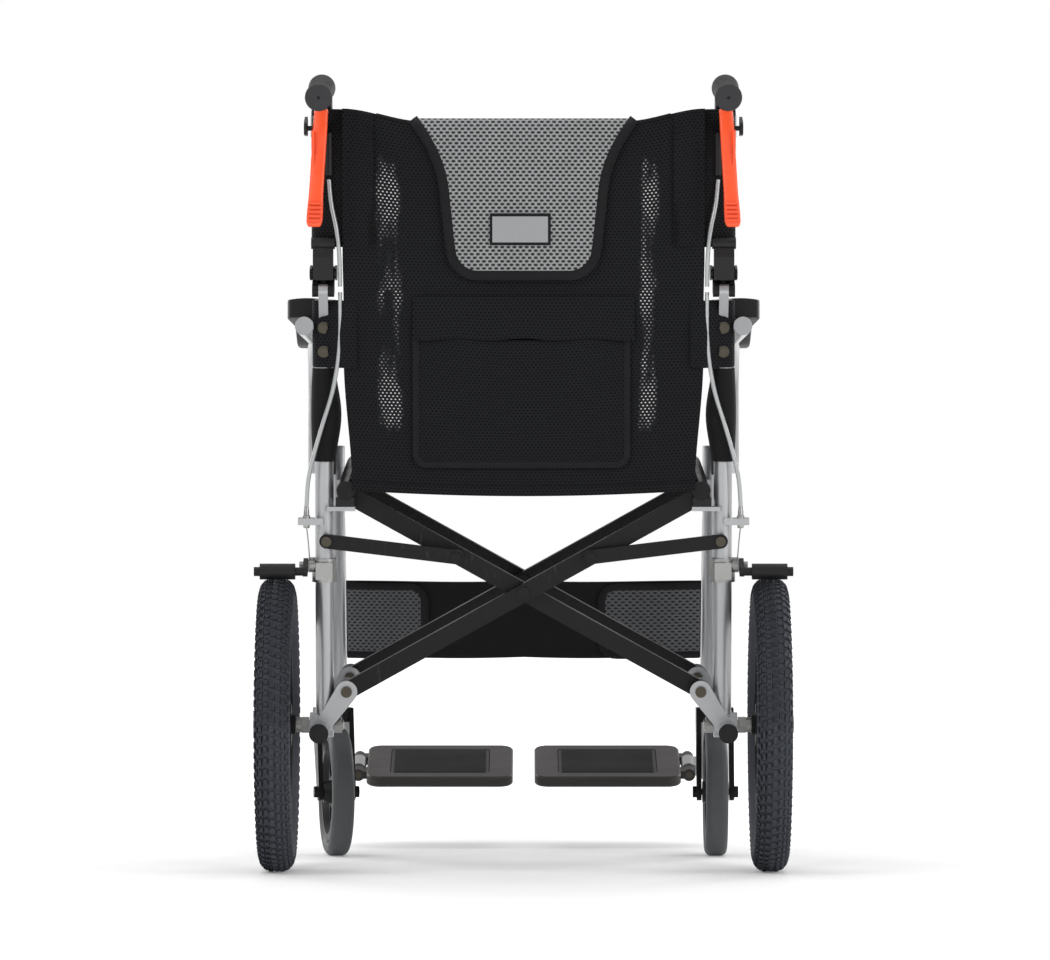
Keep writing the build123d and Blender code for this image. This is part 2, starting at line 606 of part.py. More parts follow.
# ---------------------------------------------------------------- attendant brake at the rear wheel
BRAKE_PIVOT = (AXLE_Y - 20.0, 366.0)
SHOE = (AXLE_Y - 45.0, 358.0)
SHOE_RADIUS = 9.5
SHOE_INNER_X, SHOE_OUTER_X = 271.0, 313.0
CLAMP_BOTTOM, CLAMP_TOP = 172.0, 200.0
with BuildPart() as brake_clamp:
    add(rod([at(-FRAME_X, CLAMP_BOTTOM, 0), at(-FRAME_X, CLAMP_TOP, 0)], None, TUBE_RADIUS + 4))
    with BuildSketch(SIDE.offset(FRAME_X - 10)):
        with Locations((16, (CLAMP_BOTTOM + CLAMP_TOP) / 2)):
            Rectangle(12, CLAMP_TOP - CLAMP_BOTTOM - 8)
    extrude(amount=20)
    with BuildSketch(Plane.YZ.offset(-FRAME_X - 19)):
        with Locations(BRAKE_PIVOT):
            Circle(9)
    extrude(amount=10)
    with BuildSketch(Plane.YZ.offset(-FRAME_X - 30)):
        with Locations(BRAKE_PIVOT):
            Circle(4)
    extrude(amount=12)
    clamp_bore = rod([at(-FRAME_X, CLAMP_BOTTOM - 9, 0), at(-FRAME_X, CLAMP_TOP + 9, 0)], None, TUBE_RADIUS + 0.1)
    add(clamp_bore, mode=Mode.SUBTRACT)
write_pair(brake_clamp.part, "brake_clamp")

with BuildPart() as brake_arm:
    with BuildSketch(Plane.YZ.offset(-FRAME_X - 25)):
        with Locations(BRAKE_PIVOT):
            Circle(8)
        with Locations(SHOE):
            Circle(6)
        make_hull()
        with Locations(BRAKE_PIVOT):
            Circle(4 + FIT, mode=Mode.SUBTRACT)
    extrude(amount=5.5)
    add(cross_pin_level(SHOE, FRAME_X + 21, SHOE_INNER_X + 1, 5))
    add(cross_pin_level(SHOE, SHOE_INNER_X, SHOE_OUTER_X, SHOE_RADIUS))
    add(cross_pin_level(SHOE, SHOE_OUTER_X - 1, SHOE_OUTER_X + 7, 5.5))
write_pair(brake_arm.part, "brake_arm")

# ---------------------------------------------------------------- upper back, with the push handle
grip_slope = tan(radians(GRIP_DROP))
cane_slope = TILT_SIN / TILT_COS
# the upright's line meets the handle's line here
corner_z = (GRIP_END[1] + (235 + WHEEL_RADIUS * cane_slope) * grip_slope) / (1 + cane_slope * grip_slope)
corner_y = AXLE_Y - (corner_z - WHEEL_RADIUS) * cane_slope
CANE_BOTTOM = 513.5
CANE_BEND = 32.0
handle_route = [at(-FRAME_X, CANE_BOTTOM, 0), (-FRAME_X, corner_y, corner_z), (-FRAME_X, *GRIP_END)]
GRIP = Plane(
    origin=(-FRAME_X, *GRIP_END),
    x_dir=(1, 0, 0),
    z_dir=(0, -cos(radians(GRIP_DROP)), -sin(radians(GRIP_DROP))),
)
LATCH_PIVOT_UP, LATCH_PIVOT_BACK = 540.0, 22.0
LATCH_PIN_RADIUS = 3.0
with BuildPart() as back_cane:
    add(rod(handle_route, CANE_BEND, TUBE_RADIUS))
    # the handle's last stretch is cut off inside the grip
    with BuildSketch(GRIP.offset(-4.2)):
        Circle(TUBE_RADIUS + 2)
    extrude(amount=8, mode=Mode.SUBTRACT)
    # two knuckles of the hinge
    for knuckle in (FRAME_X - 13, FRAME_X + 6):
        with BuildSketch(SIDE.offset(knuckle)):
            with Locations((BACK_HINGE_BACK, BACK_HINGE_UP)):
                Circle(KNUCKLE_RADIUS - 0.5)
            with Locations((5, CANE_BOTTOM + 8), (5, CANE_BOTTOM + 15)):
                Circle(5)
            make_hull()
        extrude(amount=7)
    # ears and pin of the latch
    for ear in (FRAME_X - 16, FRAME_X + 13.5):
        with BuildSketch(SIDE.offset(ear)):
            with Locations((LATCH_PIVOT_BACK, LATCH_PIVOT_UP)):
                Circle(6)
            with Locations((0, LATCH_PIVOT_UP)):
                Circle(9)
            make_hull()
        extrude(amount=2.5)
    add(cross_pin(LATCH_PIVOT_UP, 0, FRAME_X - 16, FRAME_X + 16, 8))
    add(cross_pin(LATCH_PIVOT_UP, LATCH_PIVOT_BACK, FRAME_X - 16, FRAME_X + 16, LATCH_PIN_RADIUS))
    add(
        cross_pin(BACK_HINGE_UP, BACK_HINGE_BACK, FRAME_X - 20, FRAME_X + 20, HINGE_PIN_RADIUS + FIT),
        mode=Mode.SUBTRACT,
    )
write_pair(back_cane.part, "back_cane")

with BuildPart() as latch:
    with BuildSketch(SIDE.offset(FRAME_X - 12)):
        with BuildLine():
            Polyline((17.5, 534), (30, 532), (31, 560), (27, 571), (14, 571), (14, 548), close=True)
        make_face()
    extrude(amount=24)
    fillet(latch.edges().filter_by(Axis.X), radius=1.5)
    with BuildSketch(SIDE.offset(FRAME_X - 14)):
        with Locations((21, 576)):
            Ellipse(9, 7)
    extrude(amount=28)
    add(
        cross_pin(LATCH_PIVOT_UP, LATCH_PIVOT_BACK, FRAME_X - 16, FRAME_X + 16, LATCH_PIN_RADIUS + FIT),
        mode=Mode.SUBTRACT,
    )
write_pair(latch.part, "latch")

with BuildPart() as grip:
    with BuildSketch(GRIP):
        Circle(GRIP_RADIUS)
    extrude(amount=-GRIP_LENGTH)
    fillet(grip.edges(), radius=3)
    with BuildSketch(GRIP.offset(-4)):
        Circle(TUBE_RADIUS + 0.1)
    extrude(amount=-GRIP_LENGTH, mode=Mode.SUBTRACT)
write_pair(grip.part, "grip")

# ---------------------------------------------------------------- brake lever and its housing
LEVER_PIVOT_UP, LEVER_PIVOT_BACK = 712.0, 38.0
LEVER_X = 246.0
LEVER_WIDTH = 17.0
with BuildPart() as lever_housing:
    add(rod([at(-FRAME_X, 700, 0), at(-FRAME_X, 726, 0)], None, TUBE_RADIUS + 4))
    for cheek in (LEVER_X - LEVER_WIDTH / 2 - 4, LEVER_X + LEVER_WIDTH / 2 + 0.5):
        with BuildSketch(SIDE.offset(cheek)):
            with Locations((LEVER_PIVOT_BACK, LEVER_PIVOT_UP)):
                Circle(8)
            with Locations((10, 708), (10, 719)):
                Circle(6)
            make_hull()
        extrude(amount=3.5)
    lever_pin = (LEVER_X - LEVER_WIDTH / 2 - 2, LEVER_X + LEVER_WIDTH / 2 + 2)
    add(cross_pin(LEVER_PIVOT_UP, LEVER_PIVOT_BACK, *lever_pin, 3))
    # arm that leads the cable out, on the inner side
    add(rod([at(-FRAME_X + 7, 706, 15), at(-FRAME_X + 7, 656, 18)], None, 4.5))
    add(rod([at(-FRAME_X, 690, 0), at(-FRAME_X, 740, 0)], None, TUBE_RADIUS + 0.1), mode=Mode.SUBTRACT)
write_pair(lever_housing.part, "lever_housing")

with BuildPart() as brake_lever:
    lever_line = ((LEVER_PIVOT_BACK, LEVER_PIVOT_UP, 7.5), (56, 690, 7), (62, 650, 6), (66, 580, 6))
    for upper, lower in zip(lever_line, lever_line[1:]):
        with BuildSketch(SIDE.offset(LEVER_X - LEVER_WIDTH / 2)):
            for back, up, radius in (upper, lower):
                with Locations((back, up)):
                    Circle(radius)
            make_hull()
        extrude(amount=LEVER_WIDTH)
    add(
        cross_pin(LEVER_PIVOT_UP, LEVER_PIVOT_BACK, LEVER_X - LEVER_WIDTH, LEVER_X + LEVER_WIDTH, 3 + FIT),
        mode=Mode.SUBTRACT,
    )
write_pair(brake_lever.part, "brake_lever")

# ---------------------------------------------------------------- brake cable, above and below the hinge


def bend_radii(points):
    """Arcs as large as their runs allow: 0.45 of the shorter run over the tangent of half the turn."""
    runs = [Vector(*b) - Vector(*a) for a, b in zip(points, points[1:])]
    radii = []
    for before, after in zip(runs, runs[1:]):
        turn = radians(before.get_angle(after))
        radii.append(0.45 * min(before.length, after.length) / tan(turn / 2))
    return radii


def cable(route):
    """A cable's housing along a route given in the back's frame."""
    points = [tuple(at(*point)) for point in route]
    return rod(points, bend_radii(points), CABLE_RADIUS)


cable_above = [(-230, 651, 18.3), (-227.5, 622, 22), (-220.5, 592, 27), (-217.3, 560, 28.2), (-217, 525, 25)]
cable_below = [
    (-217, 518, 23.4),
    (-216.6, 478, 21.9),
    (-219, 438, 21.6),
    (-226.5, 398, 21),
    (-238, 362, 20.5),
    (-248, 328, 18.5),
    (-256, 296, 15),
    (-258, 262, 12.4),
]
write_pair(cable(cable_above), "cable_above_hinge")
write_pair(cable(cable_below), "cable_below_hinge")

# ---------------------------------------------------------------- slings, as the two halves that fold
SLING_BOTTOM = 283.0
SLING_TOP_OUTER, SLING_TOP_INNER = 733.0, 716.0
HINGE_GAP = 3.0
POCKET_OUTER_X, POCKET_TOP, POCKET_BOTTOM, POCKET_THICK = 129.0, 500.0, 309.0, 5.0
SLING_FRONT = SLING_BACK - SLING_THICK / 2
with BuildPart() as back_sling_lower:
    with BuildSketch(BACK.offset(SLING_FRONT)):
        with BuildLine():
            Polyline(
                (-SLING_EDGE, SLING_BOTTOM + 4),
                (-SLING_EDGE, BACK_HINGE_UP - HINGE_GAP),
                (-SLING_GAP, BACK_HINGE_UP - HINGE_GAP),
                (-SLING_GAP, SLING_BOTTOM),
                (-150, SLING_BOTTOM),
                close=True,
            )
        make_face()
    extrude(amount=SLING_THICK)
    with BuildSketch(BACK.offset(SLING_FRONT + SLING_THICK)):
        with BuildLine():
            Polyline(
                (-POCKET_OUTER_X, POCKET_BOTTOM),
                (-POCKET_OUTER_X, POCKET_TOP),
                (-SLING_GAP, POCKET_TOP),
                (-SLING_GAP, POCKET_BOTTOM),
                close=True,
            )
        make_face()
    extrude(amount=POCKET_THICK)
write_pair(back_sling_lower.part, "back_sling_lower")

with BuildPart() as back_sling_upper:
    with BuildSketch(BACK.offset(SLING_FRONT)):
        with BuildLine():
            Polyline(
                (-SLING_EDGE, BACK_HINGE_UP + HINGE_GAP),
                (-SLING_EDGE, SLING_TOP_OUTER),
                (-140, SLING_TOP_INNER + 2),
                (-SLING_GAP, SLING_TOP_INNER),
                (-SLING_GAP, BACK_HINGE_UP + HINGE_GAP),
                close=True,
            )
        make_face()
    extrude(amount=SLING_THICK)
write_pair(back_sling_upper.part, "back_sling_upper")

SEAT_GAP = 31.0
SEAT_THICK = 7.0
with BuildPart() as seat_sling:
    with BuildSketch(BACK.offset(-366)):
        with Locations((-(PIVOT_X - 12.5 + SEAT_GAP) / 2, SEAT_RAIL_UP + 6)):
            Rectangle(PIVOT_X - 12.5 - SEAT_GAP, SEAT_THICK)
    extrude(amount=374)
write_pair(seat_sling.part, "seat_sling")

# the calf strap lies along the hangers' slope
STRAP_HEIGHT = 104.0
STRAP_MIDDLE_Z = 300.0
hanger_run = (HANGER_END[0] - HANGER_TOP[0]) / (HANGER_TOP[1] - HANGER_END[1])
STRAP = Plane(
    origin=(0, HANGER_TOP[0] + (HANGER_TOP[1] - STRAP_MIDDLE_Z) * hanger_run, STRAP_MIDDLE_Z),
    x_dir=(1, 0, 0),
    z_dir=Vector(0, -1, -hanger_run).normalized(),
)
STRAP_OUTER_X = 213.0
STRAP_GAP = 35.0
with BuildPart() as calf_strap:
    with BuildSketch(STRAP.offset(8)):
        with Locations((-(STRAP_OUTER_X + STRAP_GAP) / 2, 0)):
            Rectangle(STRAP_OUTER_X - STRAP_GAP, STRAP_HEIGHT)
    extrude(amount=SLING_THICK)
write_pair(calf_strap.part, "calf_strap")
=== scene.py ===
"""Folding transit wheelchair: the soft goods, tyres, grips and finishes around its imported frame."""

import math

import bmesh
import bpy
from bpy.props import FloatProperty, FloatVectorProperty, IntProperty, PointerProperty
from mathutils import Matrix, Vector


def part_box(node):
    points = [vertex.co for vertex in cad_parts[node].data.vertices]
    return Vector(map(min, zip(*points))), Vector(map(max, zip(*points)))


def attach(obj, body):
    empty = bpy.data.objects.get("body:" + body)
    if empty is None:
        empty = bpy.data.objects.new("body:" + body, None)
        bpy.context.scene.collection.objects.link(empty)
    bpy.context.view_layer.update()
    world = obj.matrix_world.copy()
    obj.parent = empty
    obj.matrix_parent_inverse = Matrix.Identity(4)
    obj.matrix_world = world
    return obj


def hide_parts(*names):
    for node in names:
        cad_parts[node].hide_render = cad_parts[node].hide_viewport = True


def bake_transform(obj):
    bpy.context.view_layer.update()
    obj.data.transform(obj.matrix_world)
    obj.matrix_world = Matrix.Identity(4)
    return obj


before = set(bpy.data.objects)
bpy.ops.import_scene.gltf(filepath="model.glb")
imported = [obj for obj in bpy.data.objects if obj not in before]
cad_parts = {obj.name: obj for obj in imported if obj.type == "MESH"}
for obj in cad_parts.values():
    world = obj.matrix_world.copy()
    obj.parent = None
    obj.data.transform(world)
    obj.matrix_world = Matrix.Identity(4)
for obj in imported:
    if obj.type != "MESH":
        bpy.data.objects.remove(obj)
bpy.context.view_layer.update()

bl_info = {
    "name": "Transit Wheelchair",
    "version": (1, 0, 0),
    "blender": (4, 5, 0),
    "location": "3D View > Sidebar > Wheelchair",
    "description": "Builds the cloth, rubber and finishes of a folding transit wheelchair",
    "category": "Object",
}

SIDES = (("left", -1), ("right", 1))
MM = 0.001

# the leaning frame of the back: up the back from the rear axle, and behind it
AXLE_Y = -0.235
AXLE_Z = 0.175
LEAN = math.radians(5.5)
FORWARD = Vector((0, math.cos(LEAN), math.sin(LEAN)))
UP_BACK = Vector((0, -math.sin(LEAN), math.cos(LEAN)))


def on_back(x, up, behind):
    """A point in millimetres of the leaning frame, in the chair's frame in metres."""
    return (
        Vector((x * MM, AXLE_Y, AXLE_Z))
        + UP_BACK * (up * MM)
        - FORWARD * (behind * MM)
    )


# --- node helpers
def put(tree, value, socket):
    """Join a socket to the input, or set the input's own value."""
    if isinstance(value, bpy.types.NodeSocket):
        tree.links.new(value, socket)
    elif socket.type == "RGBA" and len(value) == 3:
        socket.default_value = (*value, 1)
    else:
        socket.default_value = value


def node(tree, kind, inputs=None, **settings):
    """One shader node, with its settings and inputs."""
    made = tree.nodes.new("ShaderNode" + kind)
    for name, value in settings.items():
        setattr(made, name, value)
    for name, value in (inputs or {}).items():
        put(tree, value, made.inputs[name])
    return made


def calc(tree, operation, *values):
    """The result socket of a Math node."""
    inputs = dict(enumerate(values))
    return node(tree, "Math", inputs, operation=operation).outputs[0]


def times(tree, first, second):
    """The product of two values."""
    return calc(tree, "MULTIPLY", first, second)


def plus(tree, first, second):
    """The sum of two values."""
    return calc(tree, "ADD", first, second)


def mix(tree, factor, first, second):
    """A colour between two, by the factor."""
    made = node(tree, "Mix", data_type="RGBA")
    put(tree, factor, made.inputs[0])
    put(tree, first, made.inputs[6])
    put(tree, second, made.inputs[7])
    return made.outputs[2]


def noise(tree, vector, scale, detail=3.0, roughness=0.55):
    """A noise value from 0 to 1."""
    inputs = {"Vector": vector, "Scale": scale, "Detail": detail, "Roughness": roughness}
    return node(tree, "TexNoise", inputs).outputs[0]


def spread(tree, value, low, high, to_low=0.0, to_high=1.0):
    """The value, moved from one range to another and held inside it."""
    inputs = {0: value, 1: low, 2: high, 3: to_low, 4: to_high}
    return node(tree, "MapRange", inputs).outputs[0]


def placed(tree, vector, scale, turn=0.0):
    """The coordinates, scaled and turned about Z."""
    inputs = {"Vector": vector, "Scale": scale, "Rotation": (0, 0, turn)}
    return node(tree, "Mapping", inputs).outputs[0]


def new_group(name, inputs, outputs):
    """A shader node group with those sockets; gives its tree, its inputs and its output node."""
    tree = bpy.data.node_groups.new(name, "ShaderNodeTree")
    for label, kind in inputs:
        tree.interface.new_socket(label, in_out="INPUT", socket_type="NodeSocket" + kind)
    for label, kind in outputs:
        tree.interface.new_socket(label, in_out="OUTPUT", socket_type="NodeSocket" + kind)
    return tree, tree.nodes.new("NodeGroupInput").outputs, tree.nodes.new("NodeGroupOutput").inputs


def use_group(tree, name, inputs):
    """The named group, placed in a material's tree."""
    made = tree.nodes.new("ShaderNodeGroup")
    made.node_tree = bpy.data.node_groups[name]
    for label, value in inputs.items():
        put(tree, value, made.inputs[label])
    return made.outputs


# --- shared effects
def group_scuffs():
    """Handling marks and clouding: a colour and a roughness that vary over the surface, and fine grain."""
    tree, given, out = new_group(
        "Scuffs and grain",
        [("Colour", "Color"), ("Worn colour", "Color"), ("Roughness", "Float"),
         ("Wear", "Float"), ("Grain size", "Float")],
        [("Colour", "Color"), ("Roughness", "Float"), ("Height", "Float")],
    )
    point = node(tree, "TexCoord").outputs["Object"]
    clouds = noise(tree, point, 14.0, 4.0)
    scratches = noise(tree, placed(tree, point, (300, 40, 55), 0.4), 1.0, 2.0)
    marks = spread(tree, scratches, 0.62, 0.72)
    patches = spread(tree, clouds, 0.45, 0.75)
    worn = times(tree, times(tree, marks, patches), given["Wear"])
    put(tree, mix(tree, worn, given["Colour"], given["Worn colour"]), out["Colour"])
    drift = spread(tree, clouds, 0.3, 0.7, -0.07, 0.09)
    rougher = plus(tree, given["Roughness"], drift)
    put(tree, plus(tree, rougher, times(tree, worn, 0.15)), out["Roughness"])
    grain = node(tree, "TexVoronoi", {"Vector": point, "Scale": given["Grain size"]}).outputs[0]
    put(tree, plus(tree, grain, times(tree, worn, -0.6)), out["Height"])


def group_weave():
    """Plain weave on the cloth's own map in metres: thread height, and a mask of the gaps."""
    tree, given, out = new_group(
        "Plain weave",
        [("Vector", "Vector"), ("Threads", "Float")],
        [("Height", "Float"), ("Gap", "Float")],
    )
    point = node(tree, "VectorMath", {0: given["Vector"], 3: given["Threads"]}, operation="SCALE")
    parts = node(tree, "SeparateXYZ", {0: point.outputs[0]}).outputs
    across = calc(tree, "ABSOLUTE", calc(tree, "SINE", parts[0]))
    along = calc(tree, "ABSOLUTE", calc(tree, "SINE", parts[1]))
    both = times(tree, calc(tree, "SINE", parts[0]), calc(tree, "SINE", parts[1]))
    over = spread(tree, both, -0.3, 0.3)
    raised_across = times(tree, across, over)
    raised_along = times(tree, along, calc(tree, "SUBTRACT", 1.0, over))
    put(tree, plus(tree, raised_across, raised_along), out["Height"])
    low = calc(tree, "MAXIMUM", across, along)
    put(tree, spread(tree, low, 0.25, 0.55, 1.0, 0.0), out["Gap"])


def group_holes():
    """Staggered rows of oval holes on the cloth's own map in metres."""
    tree, given, out = new_group(
        "Staggered holes",
        [("Vector", "Vector"), ("Pitch across", "Float"), ("Pitch up", "Float"),
         ("Size", "Float"), ("Edge", "Float")],
        [("Hole", "Float"), ("Height", "Float")],
    )
    parts = node(tree, "SeparateXYZ", {0: given["Vector"]}).outputs
    row = calc(tree, "DIVIDE", parts[1], given["Pitch up"])
    odd = times(tree, calc(tree, "FLOORED_MODULO", calc(tree, "FLOOR", row), 2.0), 0.5)
    column = plus(tree, calc(tree, "DIVIDE", parts[0], given["Pitch across"]), odd)
    across = calc(tree, "SUBTRACT", calc(tree, "FRACT", column), 0.5)
    along = calc(tree, "SUBTRACT", calc(tree, "FRACT", row), 0.5)
    squares = plus(tree, times(tree, across, across), times(tree, along, along))
    away = calc(tree, "SQRT", squares)
    near = calc(tree, "SUBTRACT", given["Size"], away)
    put(tree, spread(tree, near, 0.0, given["Edge"]), out["Hole"])
    put(tree, spread(tree, near, -0.16, given["Edge"], 1.0, 0.0), out["Height"])


def group_ribs():
    """Fine ribs along one direction of the map, as on webbing and binding."""
    tree, given, out = new_group(
        "Webbing ribs",
        [("Vector", "Vector"), ("Ribs", "Float")],
        [("Height", "Float")],
    )
    parts = node(tree, "SeparateXYZ", {0: given["Vector"]}).outputs
    ridge = calc(tree, "SINE", times(tree, parts[0], given["Ribs"]))
    cross = calc(tree, "SINE", times(tree, parts[1], times(tree, given["Ribs"], 1.6)))
    put(tree, plus(tree, calc(tree, "ABSOLUTE", ridge), times(tree, cross, 0.25)), out["Height"])


# --- finishes
FINISHES = {}
MESH_BLACK = (0.006, 0.0063, 0.0075)
# lighter tone mixed into the black spacer mesh in random noise patches: painted sheen
MESH_PAINTED_SHEEN = (0.0125, 0.013, 0.015)
HOLE_BLACK = (0.001, 0.001, 0.0015, 1)
HONEYCOMB_ACROSS = 0.0072
HONEYCOMB_UP = 0.0042


def finish_of(name, colour, roughness, metallic=0.0, **constants):
    """A new material; gives its tree and its Principled node, with constants on its own sockets."""
    material = bpy.data.materials.new(name)
    material.use_nodes = True
    tree = material.node_tree
    shader = tree.nodes["Principled BSDF"]
    put(tree, colour, shader.inputs["Base Color"])
    shader.inputs["Roughness"].default_value = roughness
    shader.inputs["Metallic"].default_value = metallic
    for label, value in constants.items():
        shader.inputs[label.replace("_", " ")].default_value = value
    FINISHES[name] = material
    return tree, shader


def bump(tree, shader, height, distance, strength=1.0):
    """Raise the surface by a height of that many metres."""
    made = node(tree, "Bump", {"Height": height, "Distance": distance, "Strength": strength})
    put(tree, made.outputs[0], shader.inputs["Normal"])


def hard_finish(name, colour, worn, roughness, wear, grain, depth, metallic=0.0, **constants):
    """A paint, plastic, rubber or metal with scuffs and a fine grain."""
    tree, shader = finish_of(name, colour, roughness, metallic, **constants)
    made = use_group(tree, "Scuffs and grain", {
        "Colour": (*colour, 1), "Worn colour": (*worn, 1), "Roughness": roughness,
        "Wear": wear, "Grain size": grain,
    })
    put(tree, made["Colour"], shader.inputs["Base Color"])
    put(tree, made["Roughness"], shader.inputs["Roughness"])
    bump(tree, shader, made["Height"], depth)
    return tree, shader


def cloth_map(tree):
    """The cloth's own map, in metres."""
    return node(tree, "UVMap", uv_map="UVMap").outputs[0]


def spacer_mesh(name, colour, light, see_through):
    """Black spacer mesh: tiny staggered eyelets in diagonal rows, open where the cloth is single."""
    tree, shader = finish_of(name, colour, 0.82, Sheen_Weight=0.03, Specular_IOR_Level=0.12)
    cloth = cloth_map(tree)
    made = use_group(tree, "Staggered holes", {
        "Vector": cloth, "Pitch across": 0.0048, "Pitch up": 0.0036, "Size": 0.40, "Edge": 0.2,
    })
    clouds = noise(tree, cloth, 22.0, 3.0)
    # the lighter colour, mixed in by the noise patches, is painted sheen on the black mesh
    base = mix(tree, clouds, (*colour, 1), (*light, 1))
    put(tree, mix(tree, made["Hole"], base, HOLE_BLACK), shader.inputs["Base Color"])
    put(tree, spread(tree, clouds, 0.2, 0.8, 0.72, 0.9), shader.inputs["Roughness"])
    if see_through:
        parts = node(tree, "SeparateXYZ", {0: cloth}).outputs
        low, high, start, end = see_through
        left = spread(tree, parts[0], low, low + 0.02)
        right = spread(tree, parts[0], high - 0.02, high, 1.0, 0.0)
        bottom = spread(tree, parts[1], start, start + 0.05)
        top = spread(tree, parts[1], end - 0.05, end, 1.0, 0.0)
        inside = times(tree, times(tree, left, right), times(tree, bottom, top))
        patches = noise(tree, placed(tree, cloth, (60, 14, 1)), 1.0, 3.0)
        ragged = spread(tree, times(tree, inside, patches), 0.40, 0.60, 0.0, 0.8)
        open_hole = times(tree, spread(tree, made["Hole"], 0.75, 0.98), ragged)
        put(tree, calc(tree, "SUBTRACT", 1.0, open_hole), shader.inputs["Alpha"])
    bump(tree, shader, made["Height"], 0.0006)


def woven(name, colour, light, threads, depth, roughness=0.8):
    """A woven cloth on its own map."""
    tree, shader = finish_of(name, colour, roughness, Sheen_Weight=0.03, Specular_IOR_Level=0.12)
    cloth = cloth_map(tree)
    made = use_group(tree, "Plain weave", {"Vector": cloth, "Threads": threads})
    clouds = noise(tree, cloth, 30.0, 3.0)
    base = mix(tree, clouds, (*colour, 1), (*light, 1))
    put(tree, mix(tree, made["Gap"], base, (0.002, 0.002, 0.002, 1)), shader.inputs["Base Color"])
    put(tree, spread(tree, clouds, 0.2, 0.8, roughness - 0.08, roughness + 0.06), shader.inputs["Roughness"])
    bump(tree, shader, made["Height"], depth)


def binding_finish(name, colour, ribs):
    """Ribbed edge binding or webbing."""
    tree, shader = finish_of(name, colour, 0.75, Sheen_Weight=0.02, Specular_IOR_Level=0.15)
    cloth = cloth_map(tree)
    made = use_group(tree, "Webbing ribs", {"Vector": cloth, "Ribs": ribs})
    clouds = noise(tree, cloth, 60.0, 2.0)
    lighter = tuple(min(1.0, c * 1.9 + 0.004) for c in colour)
    put(tree, mix(tree, clouds, (*colour, 1), (*lighter, 1)), shader.inputs["Base Color"])
    put(tree, spread(tree, clouds, 0.2, 0.8, 0.66, 0.84), shader.inputs["Roughness"])
    bump(tree, shader, made["Height"], 0.0004)


def honeycomb(name, colour, light, dark, pitch_across, pitch_up, size):
    """Light honeycomb mesh over dark foam: staggered oval cells with raised walls."""
    tree, shader = finish_of(name, colour, 0.6, Specular_IOR_Level=0.25)
    cloth = cloth_map(tree)
    made = use_group(tree, "Staggered holes", {
        "Vector": cloth, "Pitch across": pitch_across, "Pitch up": pitch_up, "Size": size, "Edge": 0.12,
    })
    clouds = noise(tree, cloth, 40.0, 3.0)
    fine = noise(tree, cloth, 1400.0, 2.0)
    yarn = mix(tree, fine, (*colour, 1), (*light, 1))
    shaded = mix(tree, times(tree, clouds, 0.25), yarn, (*dark, 1))
    put(tree, mix(tree, made["Hole"], shaded, (*dark, 1)), shader.inputs["Base Color"])
    put(tree, spread(tree, fine, 0.2, 0.8, 0.5, 0.72), shader.inputs["Roughness"])
    bump(tree, shader, made["Height"], 0.0011)


